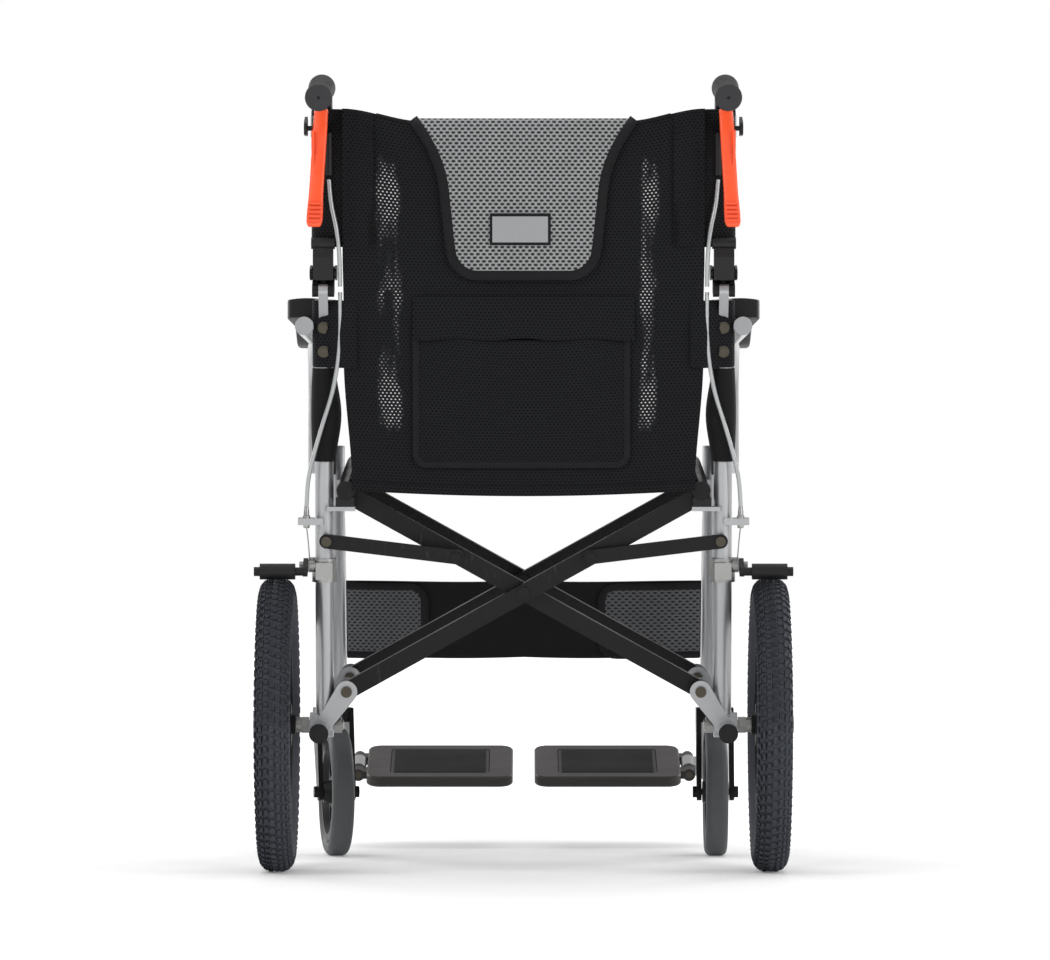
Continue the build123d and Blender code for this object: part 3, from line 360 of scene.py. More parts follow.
def make_finishes(paint):
    """Every group and material, from the colours of the panel."""
    group_scuffs()
    group_weave()
    group_holes()
    group_ribs()
    silver, orange = tuple(paint.frame_silver), tuple(paint.lever_orange)
    hard_finish("Satin silver paint", silver, (0.3, 0.305, 0.31), 0.34, 0.35, 2600, 0.00004,
                0.85, Coat_Weight=0.3, Coat_Roughness=0.15)
    hard_finish("Zinc plate", (0.34, 0.34, 0.33), (0.24, 0.225, 0.19), 0.3, 0.8, 2200, 0.00005, 1.0)
    hard_finish("Dark bronze zinc", (0.075, 0.066, 0.052), (0.16, 0.14, 0.11), 0.3, 0.8, 2200, 0.00005, 0.9)
    hard_finish("Black powder coat", (0.008, 0.008, 0.009), (0.05, 0.05, 0.052), 0.36, 0.6, 1800, 0.00006,
                0.0, Coat_Weight=0.04, Coat_Roughness=0.25, Specular_IOR_Level=0.16)
    hard_finish("Black plastic", (0.010, 0.010, 0.011), (0.03, 0.03, 0.032), 0.42, 0.5, 1500, 0.00008,
                Specular_IOR_Level=0.25)
    hard_finish("Charcoal grip rubber", (0.028, 0.028, 0.030), (0.05, 0.05, 0.052), 0.62, 0.6, 1300, 0.00012,
                Specular_IOR_Level=0.25)
    hard_finish("Blue-grey tyre rubber", tuple(paint.tyre_rubber), (0.06, 0.068, 0.08), 0.72, 0.8, 1200,
                0.00015, Specular_IOR_Level=0.2)
    hard_finish("Grey caster rubber", (0.05, 0.054, 0.058), (0.09, 0.095, 0.1), 0.55, 0.6, 1500, 0.00008)
    hard_finish("Orange plastic", orange, tuple(c * 0.75 for c in orange), 0.36, 0.4, 1800, 0.00006,
                Coat_Weight=0.2, Coat_Roughness=0.25)
    shadowed = tuple(c * 0.35 for c in orange)
    hard_finish("Shadowed orange plastic", shadowed, shadowed, 0.5, 0.2, 1800, 0.00006)
    hard_finish("Clear cable sheath", (0.36, 0.37, 0.375), (0.25, 0.255, 0.26), 0.3, 0.5, 900, 0.00004,
                0.5, Coat_Weight=0.6, Coat_Roughness=0.1)
    hard_finish("Brown-black plastic", (0.028, 0.024, 0.023), (0.045, 0.04, 0.038), 0.45, 0.6, 1100, 0.0001,
                Specular_IOR_Level=0.3)
    hard_finish("Black moulded foam", (0.013, 0.013, 0.014), (0.025, 0.025, 0.026), 0.55, 0.5, 900, 0.00018,
                Specular_IOR_Level=0.25)
    hard_finish("Grey label", (0.25, 0.255, 0.26), (0.2, 0.205, 0.21), 0.5, 0.5, 2400, 0.00005)
    spacer_mesh("Black spacer mesh", MESH_BLACK, MESH_PAINTED_SHEEN, None)
    for part, low, high in (("lower", 0.03, 0.35), ("upper", -0.1, 0.195)):
        for name, inner, outer in (("left", 0.128, 0.186), ("right", 0.120, 0.172)):
            spacer_mesh(f"Open spacer mesh {part} {name}", MESH_BLACK, MESH_PAINTED_SHEEN,
                        (inner, outer, low, high))
    woven("Black nylon", (0.006, 0.006, 0.007), (0.013, 0.013, 0.014), 3600, 0.00025)
    woven("Black strap cloth", (0.0065, 0.0065, 0.007), (0.012, 0.012, 0.013), 2600, 0.0003)
    binding_finish("Black binding", (0.006, 0.006, 0.007), 2600)
    honeycomb("Grey honeycomb mesh", tuple(paint.mesh_grey), (0.38, 0.385, 0.39), (0.012, 0.012, 0.013),
              HONEYCOMB_ACROSS, HONEYCOMB_UP, 0.41)
    honeycomb("Dark honeycomb mesh", (0.075, 0.077, 0.082), (0.125, 0.128, 0.133), (0.005, 0.005, 0.006),
              HONEYCOMB_ACROSS, HONEYCOMB_UP, 0.34)


# the CAD nodes that keep their own shape, and their finish
CAD_FINISHES = {
    "side_frame": "Satin silver paint",
    "rear_axle": "Zinc plate",
    "rear_rim": "Black powder coat",
    "rear_hub": "Black powder coat",
    "caster_fork": "Black powder coat",
    "caster_tyre": "Grey caster rubber",
    "caster_hub": "Black plastic",
    "footplate": "Brown-black plastic",
    "brace_arms": "Black powder coat",
    "seat_rail": "Black powder coat",
    "brace_link": "Black powder coat",
    "saddles_and_plug": "Black plastic",
    "frame_bolts": "Dark bronze zinc",
    "brake_clamp": "Zinc plate",
    "brake_arm": "Black plastic",
    "back_cane": "Black powder coat",
    "latch": "Black plastic",
    "lever_housing": "Black plastic",
    "brake_lever": "Orange plastic",
    "cable_above_hinge": "Clear cable sheath",
    "cable_below_hinge": "Clear cable sheath",
}


def coat(obj, *names):
    """Give a piece its finishes, in the order of its material slots."""
    obj.data.materials.clear()
    for name in names:
        obj.data.materials.append(FINISHES[name])
    return obj


# --- mesh helpers
def new_bmesh():
    """An empty mesh in the making, with a map."""
    bm = bmesh.new()
    bm.loops.layers.uv.new("UVMap")
    return bm


def finished(bm, name, smooth=True):
    """The mesh as a new object at the origin."""
    mesh = bpy.data.meshes.new(name)
    bm.to_mesh(mesh)
    bm.free()
    if smooth:
        mesh.shade_smooth()
    made = bpy.data.objects.new(name, mesh)
    bpy.context.scene.collection.objects.link(made)
    return made


def lay_cloth(bm, columns, rows, size, place, slot=0):
    """A grid of cloth in bm: place(u, v) gives each point, and size its map in metres."""
    made = bmesh.ops.create_grid(
        bm, x_segments=columns, y_segments=rows, size=0.5, calc_uvs=True
    )["verts"]
    uv = bm.loops.layers.uv["UVMap"]
    for face in {face for vert in made for face in vert.link_faces}:
        face.material_index = slot
        for loop in face.loops:
            loop[uv].uv = ((loop.vert.co.x + 0.5) * size[0], (loop.vert.co.y + 0.5) * size[1])
    for vert in made:
        vert.co = place(vert.co.x + 0.5, vert.co.y + 0.5)
    return made


def thicken(obj, thickness, levels=1, offset=0.0):
    """Give a cloth its thickness and a soft edge."""
    solid = obj.modifiers.new("Thickness", "SOLIDIFY")
    solid.thickness = thickness * MM
    solid.offset = offset
    solid.use_even_offset = True
    if levels:
        smooth = obj.modifiers.new("Soft edge", "SUBSURF")
        smooth.levels = smooth.render_levels = levels
    return obj


def settle(obj):
    """Make the modifiers part of the mesh, with crisp rims."""
    graph = bpy.context.evaluated_depsgraph_get()
    mesh = bpy.data.meshes.new_from_object(obj.evaluated_get(graph))
    obj.modifiers.clear()
    obj.data = mesh
    mesh.set_sharp_from_angle(angle=math.radians(50))
    return obj


def cloth_piece(name, columns, rows, size, place, thickness, finish, levels=0):
    """One cloth piece of the given thickness in millimetres and map size in metres.

    With no soft edge its rims stay flush, so that the halves meet without a gap."""
    bm = new_bmesh()
    lay_cloth(bm, columns, rows, size, place)
    outward(bm)
    made = finished(bm, name)
    coat(made, finish)
    thicken(made, thickness, levels)
    return made if levels else settle(made)


def turn(bm, profile, centre, axis, start, steps=48, slot=0):
    """Spin a profile of (along the axis, radius) in millimetres about an axis through centre."""
    across = axis.cross(start).normalized()
    points = [
        bm.verts.new(centre + axis * (along * MM) + across * (radius * MM))
        for along, radius in profile
    ]
    edges = [bm.edges.new(pair) for pair in zip(points, points[1:])]
    before = set(bm.faces)
    bmesh.ops.spin(
        bm, geom=points + edges, cent=centre, axis=axis, angle=math.tau,
        steps=steps, use_merge=True,
    )
    bmesh.ops.remove_doubles(bm, verts=bm.verts, dist=2e-6)
    for face in set(bm.faces) - before:
        face.material_index = slot


def soften(bm, geom, offset, segments=1, affect="EDGES"):
    """Bevel those edges or corners by that many metres."""
    bmesh.ops.bevel(
        bm, geom=geom, offset=offset, offset_type="OFFSET", segments=segments, profile=0.5,
        affect=affect, clamp_overlap=True, material=-1,
    )


def outward(bm):
    """Turn every face outwards."""
    bmesh.ops.recalc_face_normals(bm, faces=bm.faces)


def block(bm, centre, size, frame_axes, bevel=0.0, taper=1.0, slot=0):
    """A bevelled block, of that size in millimetres along three axes."""
    made = bmesh.ops.create_cube(bm, size=1.0)["verts"]
    along, across, up = frame_axes
    for vert in made:
        narrow = taper if vert.co.z > 0 else 1.0
        vert.co = (
            centre
            + along * (vert.co.x * size[0] * narrow * MM)
            + across * (vert.co.y * size[1] * narrow * MM)
            + up * (vert.co.z * size[2] * MM)
        )
    faces = {face for vert in made for face in vert.link_faces}
    for face in faces:
        face.material_index = slot
    if bevel:
        edges = {edge for vert in made for edge in vert.link_edges}
        soften(bm, list(edges), bevel * MM)


def smooth_step(low, high, value):
    """0 below low, 1 above high, and a soft curve between."""
    share = max(0.0, min(1.0, (value - low) / (high - low)))
    return share * share * (3 - 2 * share)


def between(share, low, high):
    """The value that share of the way from low to high."""
    return low + (high - low) * share


def beside_line(points, share, out):
    """The point that share of the way along the runs, moved out to their left."""
    (x, up), way = along_line(points, share)
    return x - way[1] * out, up + way[0] * out


def along_line(points, share):
    """A point that share of the way along straight runs between 2-D points, and the run's direction."""
    runs = [math.dist(a, b) for a, b in zip(points, points[1:])]
    left = share * sum(runs)
    for (a, b), run in zip(zip(points, points[1:]), runs):
        if left <= run or (a, b) == (points[-2], points[-1]):
            part = min(1.0, left / run)
            way = ((b[0] - a[0]) / run, (b[1] - a[1]) / run)
            return (between(part, a[0], b[0]), between(part, a[1], b[1])), way
        left -= run
    raise ValueError("the line has no length")


# --- tyres
WHEEL_X = 0.294


def tread_row(bm, hub, side, radius, offset, lean, size, count, turned, height):
    """One ring of tread blocks, at that distance from the tyre's middle."""
    for step in range(count):
        angle = math.tau * (step + turned) / count
        out = Vector((0, math.cos(angle), math.sin(angle)))
        forward = Vector((0, -math.sin(angle), math.cos(angle)))
        across = Vector((side, 0, 0))
        up = (out * math.cos(lean) + across * math.sin(lean)).normalized()
        over = forward.cross(up).normalized()
        centre = hub + out * (radius * MM) + across * (offset * MM)
        block(bm, centre, (size[0], size[1], height), (forward, over, up), 0.7, 0.86)


def make_rear_tyre(name, side, sizes):
    """A rear tyre: a carcass round the rim, with centre blocks and staggered side knobs."""
    hub = Vector((side * WHEEL_X, AXLE_Y, AXLE_Z))
    bm = new_bmesh()
    half = sizes.tyre_width / MM / 2
    carcass = [
        (-12.5, 131.5), (-14.0, 135.0), (-half + 3.5, 141.0), (-half + 0.6, 148.0), (-half + 0.6, 155.0),
        (-half + 2.5, 162.0), (-half + 6.5, 168.0), (-10.0, 171.4), (-4.5, 172.4), (0.0, 172.7),
        (4.5, 172.4), (10.0, 171.4), (half - 6.5, 168.0), (half - 2.5, 162.0), (half - 0.6, 155.0),
        (half - 0.6, 148.0), (half - 3.5, 141.0), (14.0, 135.0), (12.5, 131.5), (0.0, 131.0), (-12.5, 131.5),
    ]
    turn(bm, carcass, hub, Vector((1, 0, 0)), Vector((0, 1, 0)), 96)
    outward(bm)
    count = sizes.tread_blocks
    tread_row(bm, hub, side, 173.4, 0.0, 0.0, (9.0, 6.0), count, 0.0, 3.0)
    for way in (-1, 1):
        near, far = (0.5, 0.0) if way > 0 else (0.0, 0.5)
        tread_row(bm, hub, side, 172.9, way * 6.9, way * 0.16, (6.6, 4.6), count, 0.25 + near, 3.0)
        tread_row(bm, hub, side, 170.6, way * 12.6, way * 0.5, (9.2, 4.2), count, 0.5 + near, 3.2)
        tread_row(bm, hub, side, 166.6, way * 16.7, way * 0.95, (6.4, 4.4), count, 0.1 + far, 3.0)
        tread_row(bm, hub, side, 161.2, way * 19.1, way * 1.3, (7.6, 4.6), count, 0.6 + far, 2.4)
    made = finished(bm, "tyre_tread_" + name, smooth=False)
    largest_flat = 2.2e-5
    for polygon in made.data.polygons:
        polygon.use_smooth = polygon.area > largest_flat
    coat(made, "Blue-grey tyre rubber")
    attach(made, "wheel_" + name)
    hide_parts("rear_tyre_" + name)


# --- grips
GRIP_END = (0.237, -0.470, 0.906)
FIRST_RIB, LAST_RIB, RIB_STEP = 12.0, 108.0, 5.2


def make_grip(name, side, sizes):
    """A push grip: a ribbed rubber sleeve with a flanged collar and a hollow in its end."""
    drop = math.radians(10)
    axis = Vector((0, math.cos(drop), math.sin(drop)))
    end = Vector((side * GRIP_END[0], GRIP_END[1], GRIP_END[2]))
    radius = sizes.grip_radius / MM
    profile = [(2.6, 0.001), (2.4, 1.5), (0.3, 1.9), (0.0, 2.6), (0.0, radius - 2.6), (0.8, radius - 0.9),
               (2.6, radius - 0.1), (8.0, radius)]
    ring = FIRST_RIB
    while ring < LAST_RIB:
        for along, depth in ((0.0, 0.0), (1.0, 1.3), (2.2, 1.5), (3.2, 0.2), (4.0, 0.0)):
            waist = 1.2 * math.sin(math.pi * (ring + along) / 112.0)
            profile.append((ring + along, radius - depth - waist))
        ring += RIB_STEP
    profile += [(112.0, radius - 0.6), (114.0, radius), (119.0, radius), (120.6, radius - 0.8),
                (127.0, radius - 1.6), (128.0, radius - 3.0), (128.0, 11.3)]
    bm = new_bmesh()
    turn(bm, profile, end, axis, Vector((1, 0, 0)), 40)
    outward(bm)
    made = finished(bm, "ribbed_grip_" + name)
    coat(made, "Charcoal grip rubber")
    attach(made, "back_" + name)
    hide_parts("grip_" + name)


# --- back sling
SLING_BEHIND = 24.0
HINGE_UP = 520.0
CANE_X = 237.0
SLING_LOW = 283.0
SLING_TOP = 719.0
SLEEVE_LOW = 571.0
FLAP_LOW, FLAP_HIGH = 428.0, 508.0


def sling_behind(x, up):
    """How far behind the axle line the cloth of the back lies, with the slack it has at rest."""
    middle = 1 - (abs(x) / 215.0) ** 2
    slack = 2.2 * math.sin(up / 38.0 + abs(x) / 31.0) * smooth_step(60, 190, abs(x))
    hollow = -3.0 * middle * math.sin(math.pi * (up - 280) / 450)
    return SLING_BEHIND + hollow + slack * 0.6


def sling_edge(up):
    """The side edge of the back cloth, as a distance from the middle."""
    low = between(smooth_step(SLING_LOW, 440, up), 203.0, 213.0)
    return between(smooth_step(505, 560, up), low, 214.0)


def sling_top(x):
    """How far up the back the top edge is."""
    return between(smooth_step(120, 215, abs(x)), SLING_TOP, 735.0)


def sling_bottom(x):
    """How far up the back the lower edge is."""
    return SLING_LOW - 7.0 * (1 - (abs(x) / 205.0) ** 2)


def make_lower_sling(name, side):
    """The lower half of the back cloth on one side, from the seat to the folding hinge."""
    def place(u, v):
        x = u * sling_edge(between(v, SLING_LOW, HINGE_UP))
        up = between(v, sling_bottom(x), HINGE_UP)
        return on_back(side * x, up, sling_behind(x, up))

    made = cloth_piece("lower_back_cloth_" + name, 30, 34, (0.21, 0.237), place, 2.4,
                       "Open spacer mesh lower " + name)
    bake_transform(made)
    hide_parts("back_sling_lower_" + name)
    return made


def make_upper_sling(name, side):
    """The upper half of the back cloth on one side, from the folding hinge to the top edge."""
    def place(u, v):
        x = u * sling_edge(between(v, HINGE_UP, SLING_TOP))
        up = between(v, HINGE_UP, sling_top(x))
        return on_back(side * x, up, sling_behind(x, up))

    made = cloth_piece("upper_back_cloth_" + name, 30, 30, (0.21, 0.2), place, 2.4,
                       "Open spacer mesh upper " + name)
    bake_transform(made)
    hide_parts("back_sling_upper_" + name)


def cane_wrap(share, inner, radius):
    """A section round the cane: from the seam on the back, outwards round the cane and back to the seam.

    Gives the distance from the middle and the distance behind the axle line."""
    flat = CANE_X - inner
    arc = math.pi * radius
    total = 2 * flat + arc
    run = share * total
    if run < flat:
        near = run / flat
        return inner + run, between(smooth_step(0.25, 1, near), SLING_BEHIND + 2.6, radius)
    if run < flat + arc:
        angle = (run - flat) / radius
        return CANE_X + radius * math.sin(angle), radius * math.cos(angle)
    back = (run - flat - arc) / flat
    return CANE_X - (run - flat - arc), between(smooth_step(0, 0.8, back), -radius, SLING_BEHIND - 3.0)


def make_sleeve(name, side):
    """The sleeve of the back cloth round one cane, sewn down along its inner edge."""
    inner, radius = 177.0, 13.6
    length = (2 * (CANE_X - inner) + math.pi * radius) * MM

    def place(u, v):
        x, behind = cane_wrap(u, inner, radius)
        up = between(v, SLEEVE_LOW, sling_top(x) - 1.0)
        swell = 1.4 * math.sin(up / 17.0) * math.sin(math.pi * u)
        return on_back(side * x, up, behind + swell * 0.5)

    made = cloth_piece("cane_sleeve_" + name, 42, 26, (length, 0.163), place, 1.8, "Black spacer mesh", 1)
    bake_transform(made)


def make_flap(name, side):
    """The flap that holds the back cloth to the rear upright, folded round it and bolted through."""
    inner, radius = 197.0, 12.8
    length = (2 * (CANE_X - inner) + math.pi * radius) * MM

    def place(u, v):
        x, behind = cane_wrap(u, inner, radius)
        up = between(v, FLAP_LOW, FLAP_HIGH)
        return on_back(side * x, up, behind + 0.5 * math.sin(up / 9.0))

    made = cloth_piece("sling_flap_" + name, 34, 16, (length, 0.08), place, 2.2, "Black spacer mesh", 1)
    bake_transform(made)


# --- grey panel
PANEL_LOW, PANEL_TOP = 538.0, 722.5
PANEL_HALF = 86.0
PANEL_CORNER = 32.0
BINDING_WIDTH = 10.5


def panel_half(up):
    """Half the width of the grey panel, with rounded lower corners."""
    flare = 26.0 * (max(0.0, up - 640.0) / 80.0) ** 2
    width = PANEL_HALF + 0.107 * max(0.0, up - 565.0) + flare
    low = up - PANEL_LOW
    if low < PANEL_CORNER:
        width -= PANEL_CORNER - math.sqrt(max(0.0, PANEL_CORNER**2 - (PANEL_CORNER - low) ** 2))
    return width


def panel_behind(x, up, lift):
    """How far behind the axle line the grey panel lies: proud of the cloth, and folded over the top."""
    crown = 2.6 * (1 - (abs(x) / 130.0) ** 2)
    over = max(0.0, up - 711.0)
    return sling_behind(x, min(up, SLING_TOP)) + lift + crown - 0.055 * over**2


def make_grey_panel(name, side):
    """Half of the grey honeycomb panel, and its black binding."""
    def place(u, v):
        up = between(v**0.9, PANEL_LOW, PANEL_TOP)
        x = u * max(4.0, panel_half(up))
        return on_back(side * x, up, panel_behind(x, up, 4.4))

    made = cloth_piece("grey_panel_" + name, 26, 34, (0.128, 0.189), place, 2.4, "Grey honeycomb mesh")
    uv = made.data.uv_layers["UVMap"].data
    for loop in made.data.loops:
        spot = made.data.vertices[loop.vertex_index].co
        uv[loop.index].uv = (spot.x, spot.z)
    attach(made, "back_sling_upper_" + name)

    steps = 40
    heights = [between(i / steps, PANEL_LOW, PANEL_TOP) for i in range(steps, -1, -1)]
    corner_up = PANEL_LOW + PANEL_CORNER
    outline = [(panel_half(up), up) for up in heights if up > corner_up + 1]
    for angle in [math.radians(degrees) for degrees in range(8, 91, 8)]:
        outline.append((PANEL_HALF - PANEL_CORNER + PANEL_CORNER * math.cos(angle),
                        corner_up - PANEL_CORNER * math.sin(angle)))
    outline += [(26.0, PANEL_LOW), (0.0, PANEL_LOW)]
    length = sum(math.dist(a, b) for a, b in zip(outline, outline[1:])) * MM

    def edge(u, v):
        x, up = beside_line(outline, u, (v - 0.5) * BINDING_WIDTH)
        if u > 0.999:
            x = 0.0
        raised = 2.6 * math.sin(math.pi * v) ** 0.5
        return on_back(side * max(0.0, x), up, panel_behind(x, up, 5.0 + raised))

    bound = cloth_piece("panel_binding_" + name, 72, 4, (length, 0.0105), edge, 1.6, "Black binding")
    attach(bound, "back_sling_upper_" + name)


def make_label(name, side):
    """Half of the blank woven label and its black border."""
    width = 40.0 if side < 0 else 32.0

    def face(inset, lift, low, high):
        def place(u, v):
            x = u * (width - inset)
            up = between(v, low, high)
            return on_back(side * x, up, panel_behind(x, up, lift))
        return place

    border = cloth_piece("label_border_" + name, 8, 6, (width * MM, 0.036), face(0, 6.6, 574.0, 611.5),
                         1.4, "Black binding")
    plate = cloth_piece("label_face_" + name, 8, 6, (width * MM, 0.03), face(3.2, 7.6, 577.4, 608.0),
                        1.2, "Grey label")
    for made in (border, plate):
        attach(made, "back_sling_upper_" + name)


# --- pocket
def make_pocket(name, side):
    """Half of the back pocket, with its sagging mouth, and half of the flap that covers it."""
    outer = 129.0 if side < 0 else 124.0

    def body(u, v):
        x = u * outer
        inside = math.sin(math.pi * min(1.0, v)) ** 0.6 * (1 - (abs(x) / outer) ** 6)
        up = between(v, 312.0, 470.0 - 9.0 * (1 - (x / outer) ** 2))
        folds = 1.2 * math.sin(x / 17.0 + up / 41.0) * v
        mouth = 3.5 * smooth_step(0.75, 1.0, v) * (1 - (x / outer) ** 4)
        return on_back(side * x, up, sling_behind(x, up) + 2.6 + 4.5 * inside + folds * inside + mouth)

    pouch = cloth_piece("pocket_" + name, 26, 30, (outer * MM, 0.158), body, 1.8, "Black spacer mesh")

    def cover(u, v):
        x = u * 131.0
        up = between(v, 464.0 - 2.5 * math.sin(x / 26.0) ** 2, 512.5)
        lift = between(v, 9.0, 3.6) + 1.3 * math.sin(x / 15.0) * (1 - v)
        edge = 1 - smooth_step(0.9, 1.0, u) * 0.5
        return on_back(side * x, up, sling_behind(x, up) + lift * edge)

    flap = cloth_piece("pocket_flap_" + name, 26, 12, (0.131, 0.048), cover, 2.0, "Black spacer mesh")

    def hem(u, v):
        line = [(outer - 1.5, 468.0), (outer - 1.5, 322.0), (outer - 10.0, 313.5), (0.0, 313.5)]
        x, up = beside_line(line, u, (v - 0.5) * 7.0)
        lift = 4.0 + 1.2 * math.sin(math.pi * v)
        return on_back(side * max(0.0, x), up, sling_behind(x, up) + lift)

    border = cloth_piece("pocket_hem_" + name, 60, 3, (0.275, 0.007), hem, 1.4, "Black binding")
    for made in (pouch, flap, border):
        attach(made, "back_sling_lower_" + name)


# --- seams
def seam(name, body, points, radius, finish="Black binding"):
    """A raised seam along a line of points, as one thin cord of thread and folded cloth."""
    curve = bpy.data.curves.new(name, "CURVE")
    curve.dimensions = "3D"
    spline = curve.splines.new("NURBS")
    spline.points.add(len(points) - 1)
    for spot, point in zip(spline.points, points):
        spot.co = (*point, 1)
    spline.order_u = 3
    spline.use_endpoint_u = True
    curve.bevel_depth = radius * MM
    curve.bevel_resolution = 2
    curve.use_fill_caps = True
    made = bpy.data.objects.new(name, curve)
    bpy.context.scene.collection.objects.link(made)
    made.data.materials.append(FINISHES[finish])
    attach(made, body)
    return made


def back_seams(name, side):
    """The sewn lines of the back: beside the sleeve, along the top edge and above the lower edge."""
    upper, lower = "back_sling_upper_" + name, "back_sling_lower_" + name
    for index, inner in enumerate((177.6, 181.5)):
        points = [on_back(side * inner, up, sling_behind(inner, up) + 4.4) for up in range(574, 728, 14)]
        seam(f"sleeve_seam_{index}_{name}", upper, points, 0.55)
    points = [on_back(side * x, sling_top(x) - 1.2, sling_behind(x, 715) + 0.8) for x in range(132, 180, 6)]
    seam("top_edge_" + name, upper, points, 2.3)
    points = [on_back(side * x, sling_bottom(x) + 12, sling_behind(x, 295) + 1.6) for x in range(0, 201, 20)]
    seam("lower_hem_" + name, lower, points, 0.6)


# --- seat, calf strap, guards and pads
SEAT_UP = 296.0
SEAT_SAG = 12.0
RAIL_INNER, RAIL_OUTER = 200.0, 222.0
SEAT_REAR, SEAT_FRONT = 6.0, -366.0


def make_seat(name, side):
    """Half of the seat sling, folded round its rail, with a little sag."""
    def place(u, v):
        x = u * RAIL_OUTER
        sag = SEAT_SAG * (1 - (x / RAIL_INNER) ** 2) if x < RAIL_INNER else 0.0
        lift = SEAT_UP
        if x >= RAIL_INNER:
            lift = between(smooth_step(RAIL_INNER, RAIL_OUTER, x), SEAT_UP, SEAT_UP - 16.0)
        return on_back(side * x, lift - sag, between(v, SEAT_REAR, SEAT_FRONT))

    made = cloth_piece("seat_cloth_" + name, 26, 40, (0.225, 0.372), place, 3.0, "Black nylon")
    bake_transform(made)
    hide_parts("seat_sling_" + name)


STRAP_MIDDLE = Vector((0, 0.2407, 0.296))
STRAP_UP = Vector((0, -0.402, 0.9155))
STRAP_BACK = Vector((0, -0.9155, -0.402))
STRAP_END, STRAP_HALF = 226.0, 53.0
MESH_END, MESH_HALF = 225.0, 47.0
MESH_CORNER = 14.0


def on_strap(x, up, behind):
    """A point of the calf strap's own plane, in millimetres."""
    return Vector((x * MM, 0, 0)) + STRAP_MIDDLE + STRAP_UP * (up * MM) + STRAP_BACK * (behind * MM)


def make_calf_strap(name, side):
    """Half of the calf strap, with a dark mesh panel at its end and a rounded binding."""
    def behind(x):
        return 3.0 * math.sin(x / 70.0)

    def place(u, v):
        x = u * STRAP_END
        ripple = 1.2 * math.sin(x / 37.0)
        return on_strap(side * x, between(v, -STRAP_HALF, STRAP_HALF), behind(x) + ripple)

    band = cloth_piece("calf_strap_cloth_" + name, 34, 10, (0.226, 0.106), place, 2.6, "Black strap cloth")
    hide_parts("calf_strap_" + name)
    inner = 126.0 if side < 0 else 99.0

    def face(u, v):
        x = between(u, inner, MESH_END)
        up = between(v, -MESH_HALF, MESH_HALF)
        corner = max(0.0, abs(up) - (MESH_HALF - MESH_CORNER))
        if x - inner < MESH_CORNER:
            cut = MESH_CORNER - math.sqrt(max(0.0, MESH_CORNER**2 - corner**2))
            x += cut * (1 - (x - inner) / MESH_CORNER)
        return on_strap(side * x, up, behind(x) + 3.4)

    panel = cloth_piece("calf_strap_mesh_" + name, 22, 12, (0.1, 0.094), face, 1.6, "Dark honeycomb mesh")
    upper = [(MESH_END, 48.0), (inner + 16, 48.0), (inner + 5, 43.0), (inner, 32.0)]
    line = upper + [(x, -up) for x, up in reversed(upper)]

    def edge(u, v):
        x, up = beside_line(line, u, (0.5 - v) * 9.0)
        return on_strap(side * x, up, behind(x) + 4.0 + 1.8 * math.sin(math.pi * v))

    bound = cloth_piece("calf_strap_binding_" + name, 60, 3, (0.29, 0.009), edge, 1.6, "Black binding")
    for made in (band, panel, bound):
        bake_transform(made)


GUARD_X = 0.2368


def make_guard(name, side):
    """A side guard: a padded cloth panel under the armrest and its sleeve round the rear upright."""
    outline = [(-255.0, 478.0), (119.0, 478.0), (119.0, 560.0), (65.0, 628.0), (-215.0, 628.0),
               (-263.0, 600.0)]
    bm = new_bmesh()
    layer = bm.loops.layers.uv["UVMap"]
    corners = [bm.verts.new((side * GUARD_X, y * MM, z * MM)) for y, z in outline]
    bm.faces.new(corners)
    soften(bm, corners, 0.016, 5, "VERTICES")
    bmesh.ops.inset_region(bm, faces=list(bm.faces), thickness=0.008, use_even_offset=True)
    for face in bm.faces:
        for loop in face.loops:
            loop[layer].uv = (loop.vert.co.y, loop.vert.co.z)
    panel = finished(bm, "guard_panel_" + name)
    coat(panel, "Black nylon")
    thicken(panel, 3.4, 0)
    rounding = panel.modifiers.new("Rounded edge", "BEVEL")
    rounding.width = 0.0014
    rounding.segments = 2
    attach(panel, name + "_frame")
    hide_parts("side_guard_" + name)

    def sleeve(u, v):
        angle = math.tau * u
        up = between(v, 316.0, 427.0)
        swell = math.sin(math.pi * v)
        bulge = 1.8 * swell + 5.0 * swell**2 * max(0.0, -math.sin(angle))
        radius = 13.0 + bulge
        return on_back(side * (CANE_X + radius * math.sin(angle)), up, radius * math.cos(angle))

    wrap = cloth_piece("guard_sleeve_" + name, 28, 14, (0.085, 0.111), sleeve, 1.6, "Black strap cloth")
    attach(wrap, name + "_frame")


ARM_X = 0.259
ARM_HALF = 0.0245
ARM_REAR, ARM_FRONT = AXLE_Y - 0.008, AXLE_Y + 0.396


def make_armrest_pad(name, side):
    """An armrest pad: moulded foam, crowned on top, drooping at the front."""
    bm = new_bmesh()
    bmesh.ops.create_cube(bm, size=1.0, calc_uvs=True)
    bmesh.ops.subdivide_edges(bm, edges=list(bm.edges), cuts=11, use_grid_fill=True)
    for vert in bm.verts:
        along, across, height = vert.co.y + 0.5, vert.co.x * 2, vert.co.z + 0.5
        y = between(along, ARM_REAR, ARM_FRONT)
        front = smooth_step(0.74, 1.0, along)
        top = between(front, 0.685, 0.660) - 0.0022 * across**2
        low = between(smooth_step(0.70, 0.86, along), 0.6605, 0.638)
        blunt = 1 - 0.12 * smooth_step(0.9, 1.0, along) - 0.1 * smooth_step(0.08, 0.0, along)
        vert.co = (side * ARM_X + across * ARM_HALF * blunt, y, between(height, low, top))
    outward(bm)
    made = finished(bm, "armrest_cushion_" + name)
    rounding = made.modifiers.new("Rounded", "SUBSURF")
    rounding.levels = rounding.render_levels = 2
    coat(made, "Black moulded foam")
    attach(made, name + "_frame")
    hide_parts("armrest_pad_" + name)


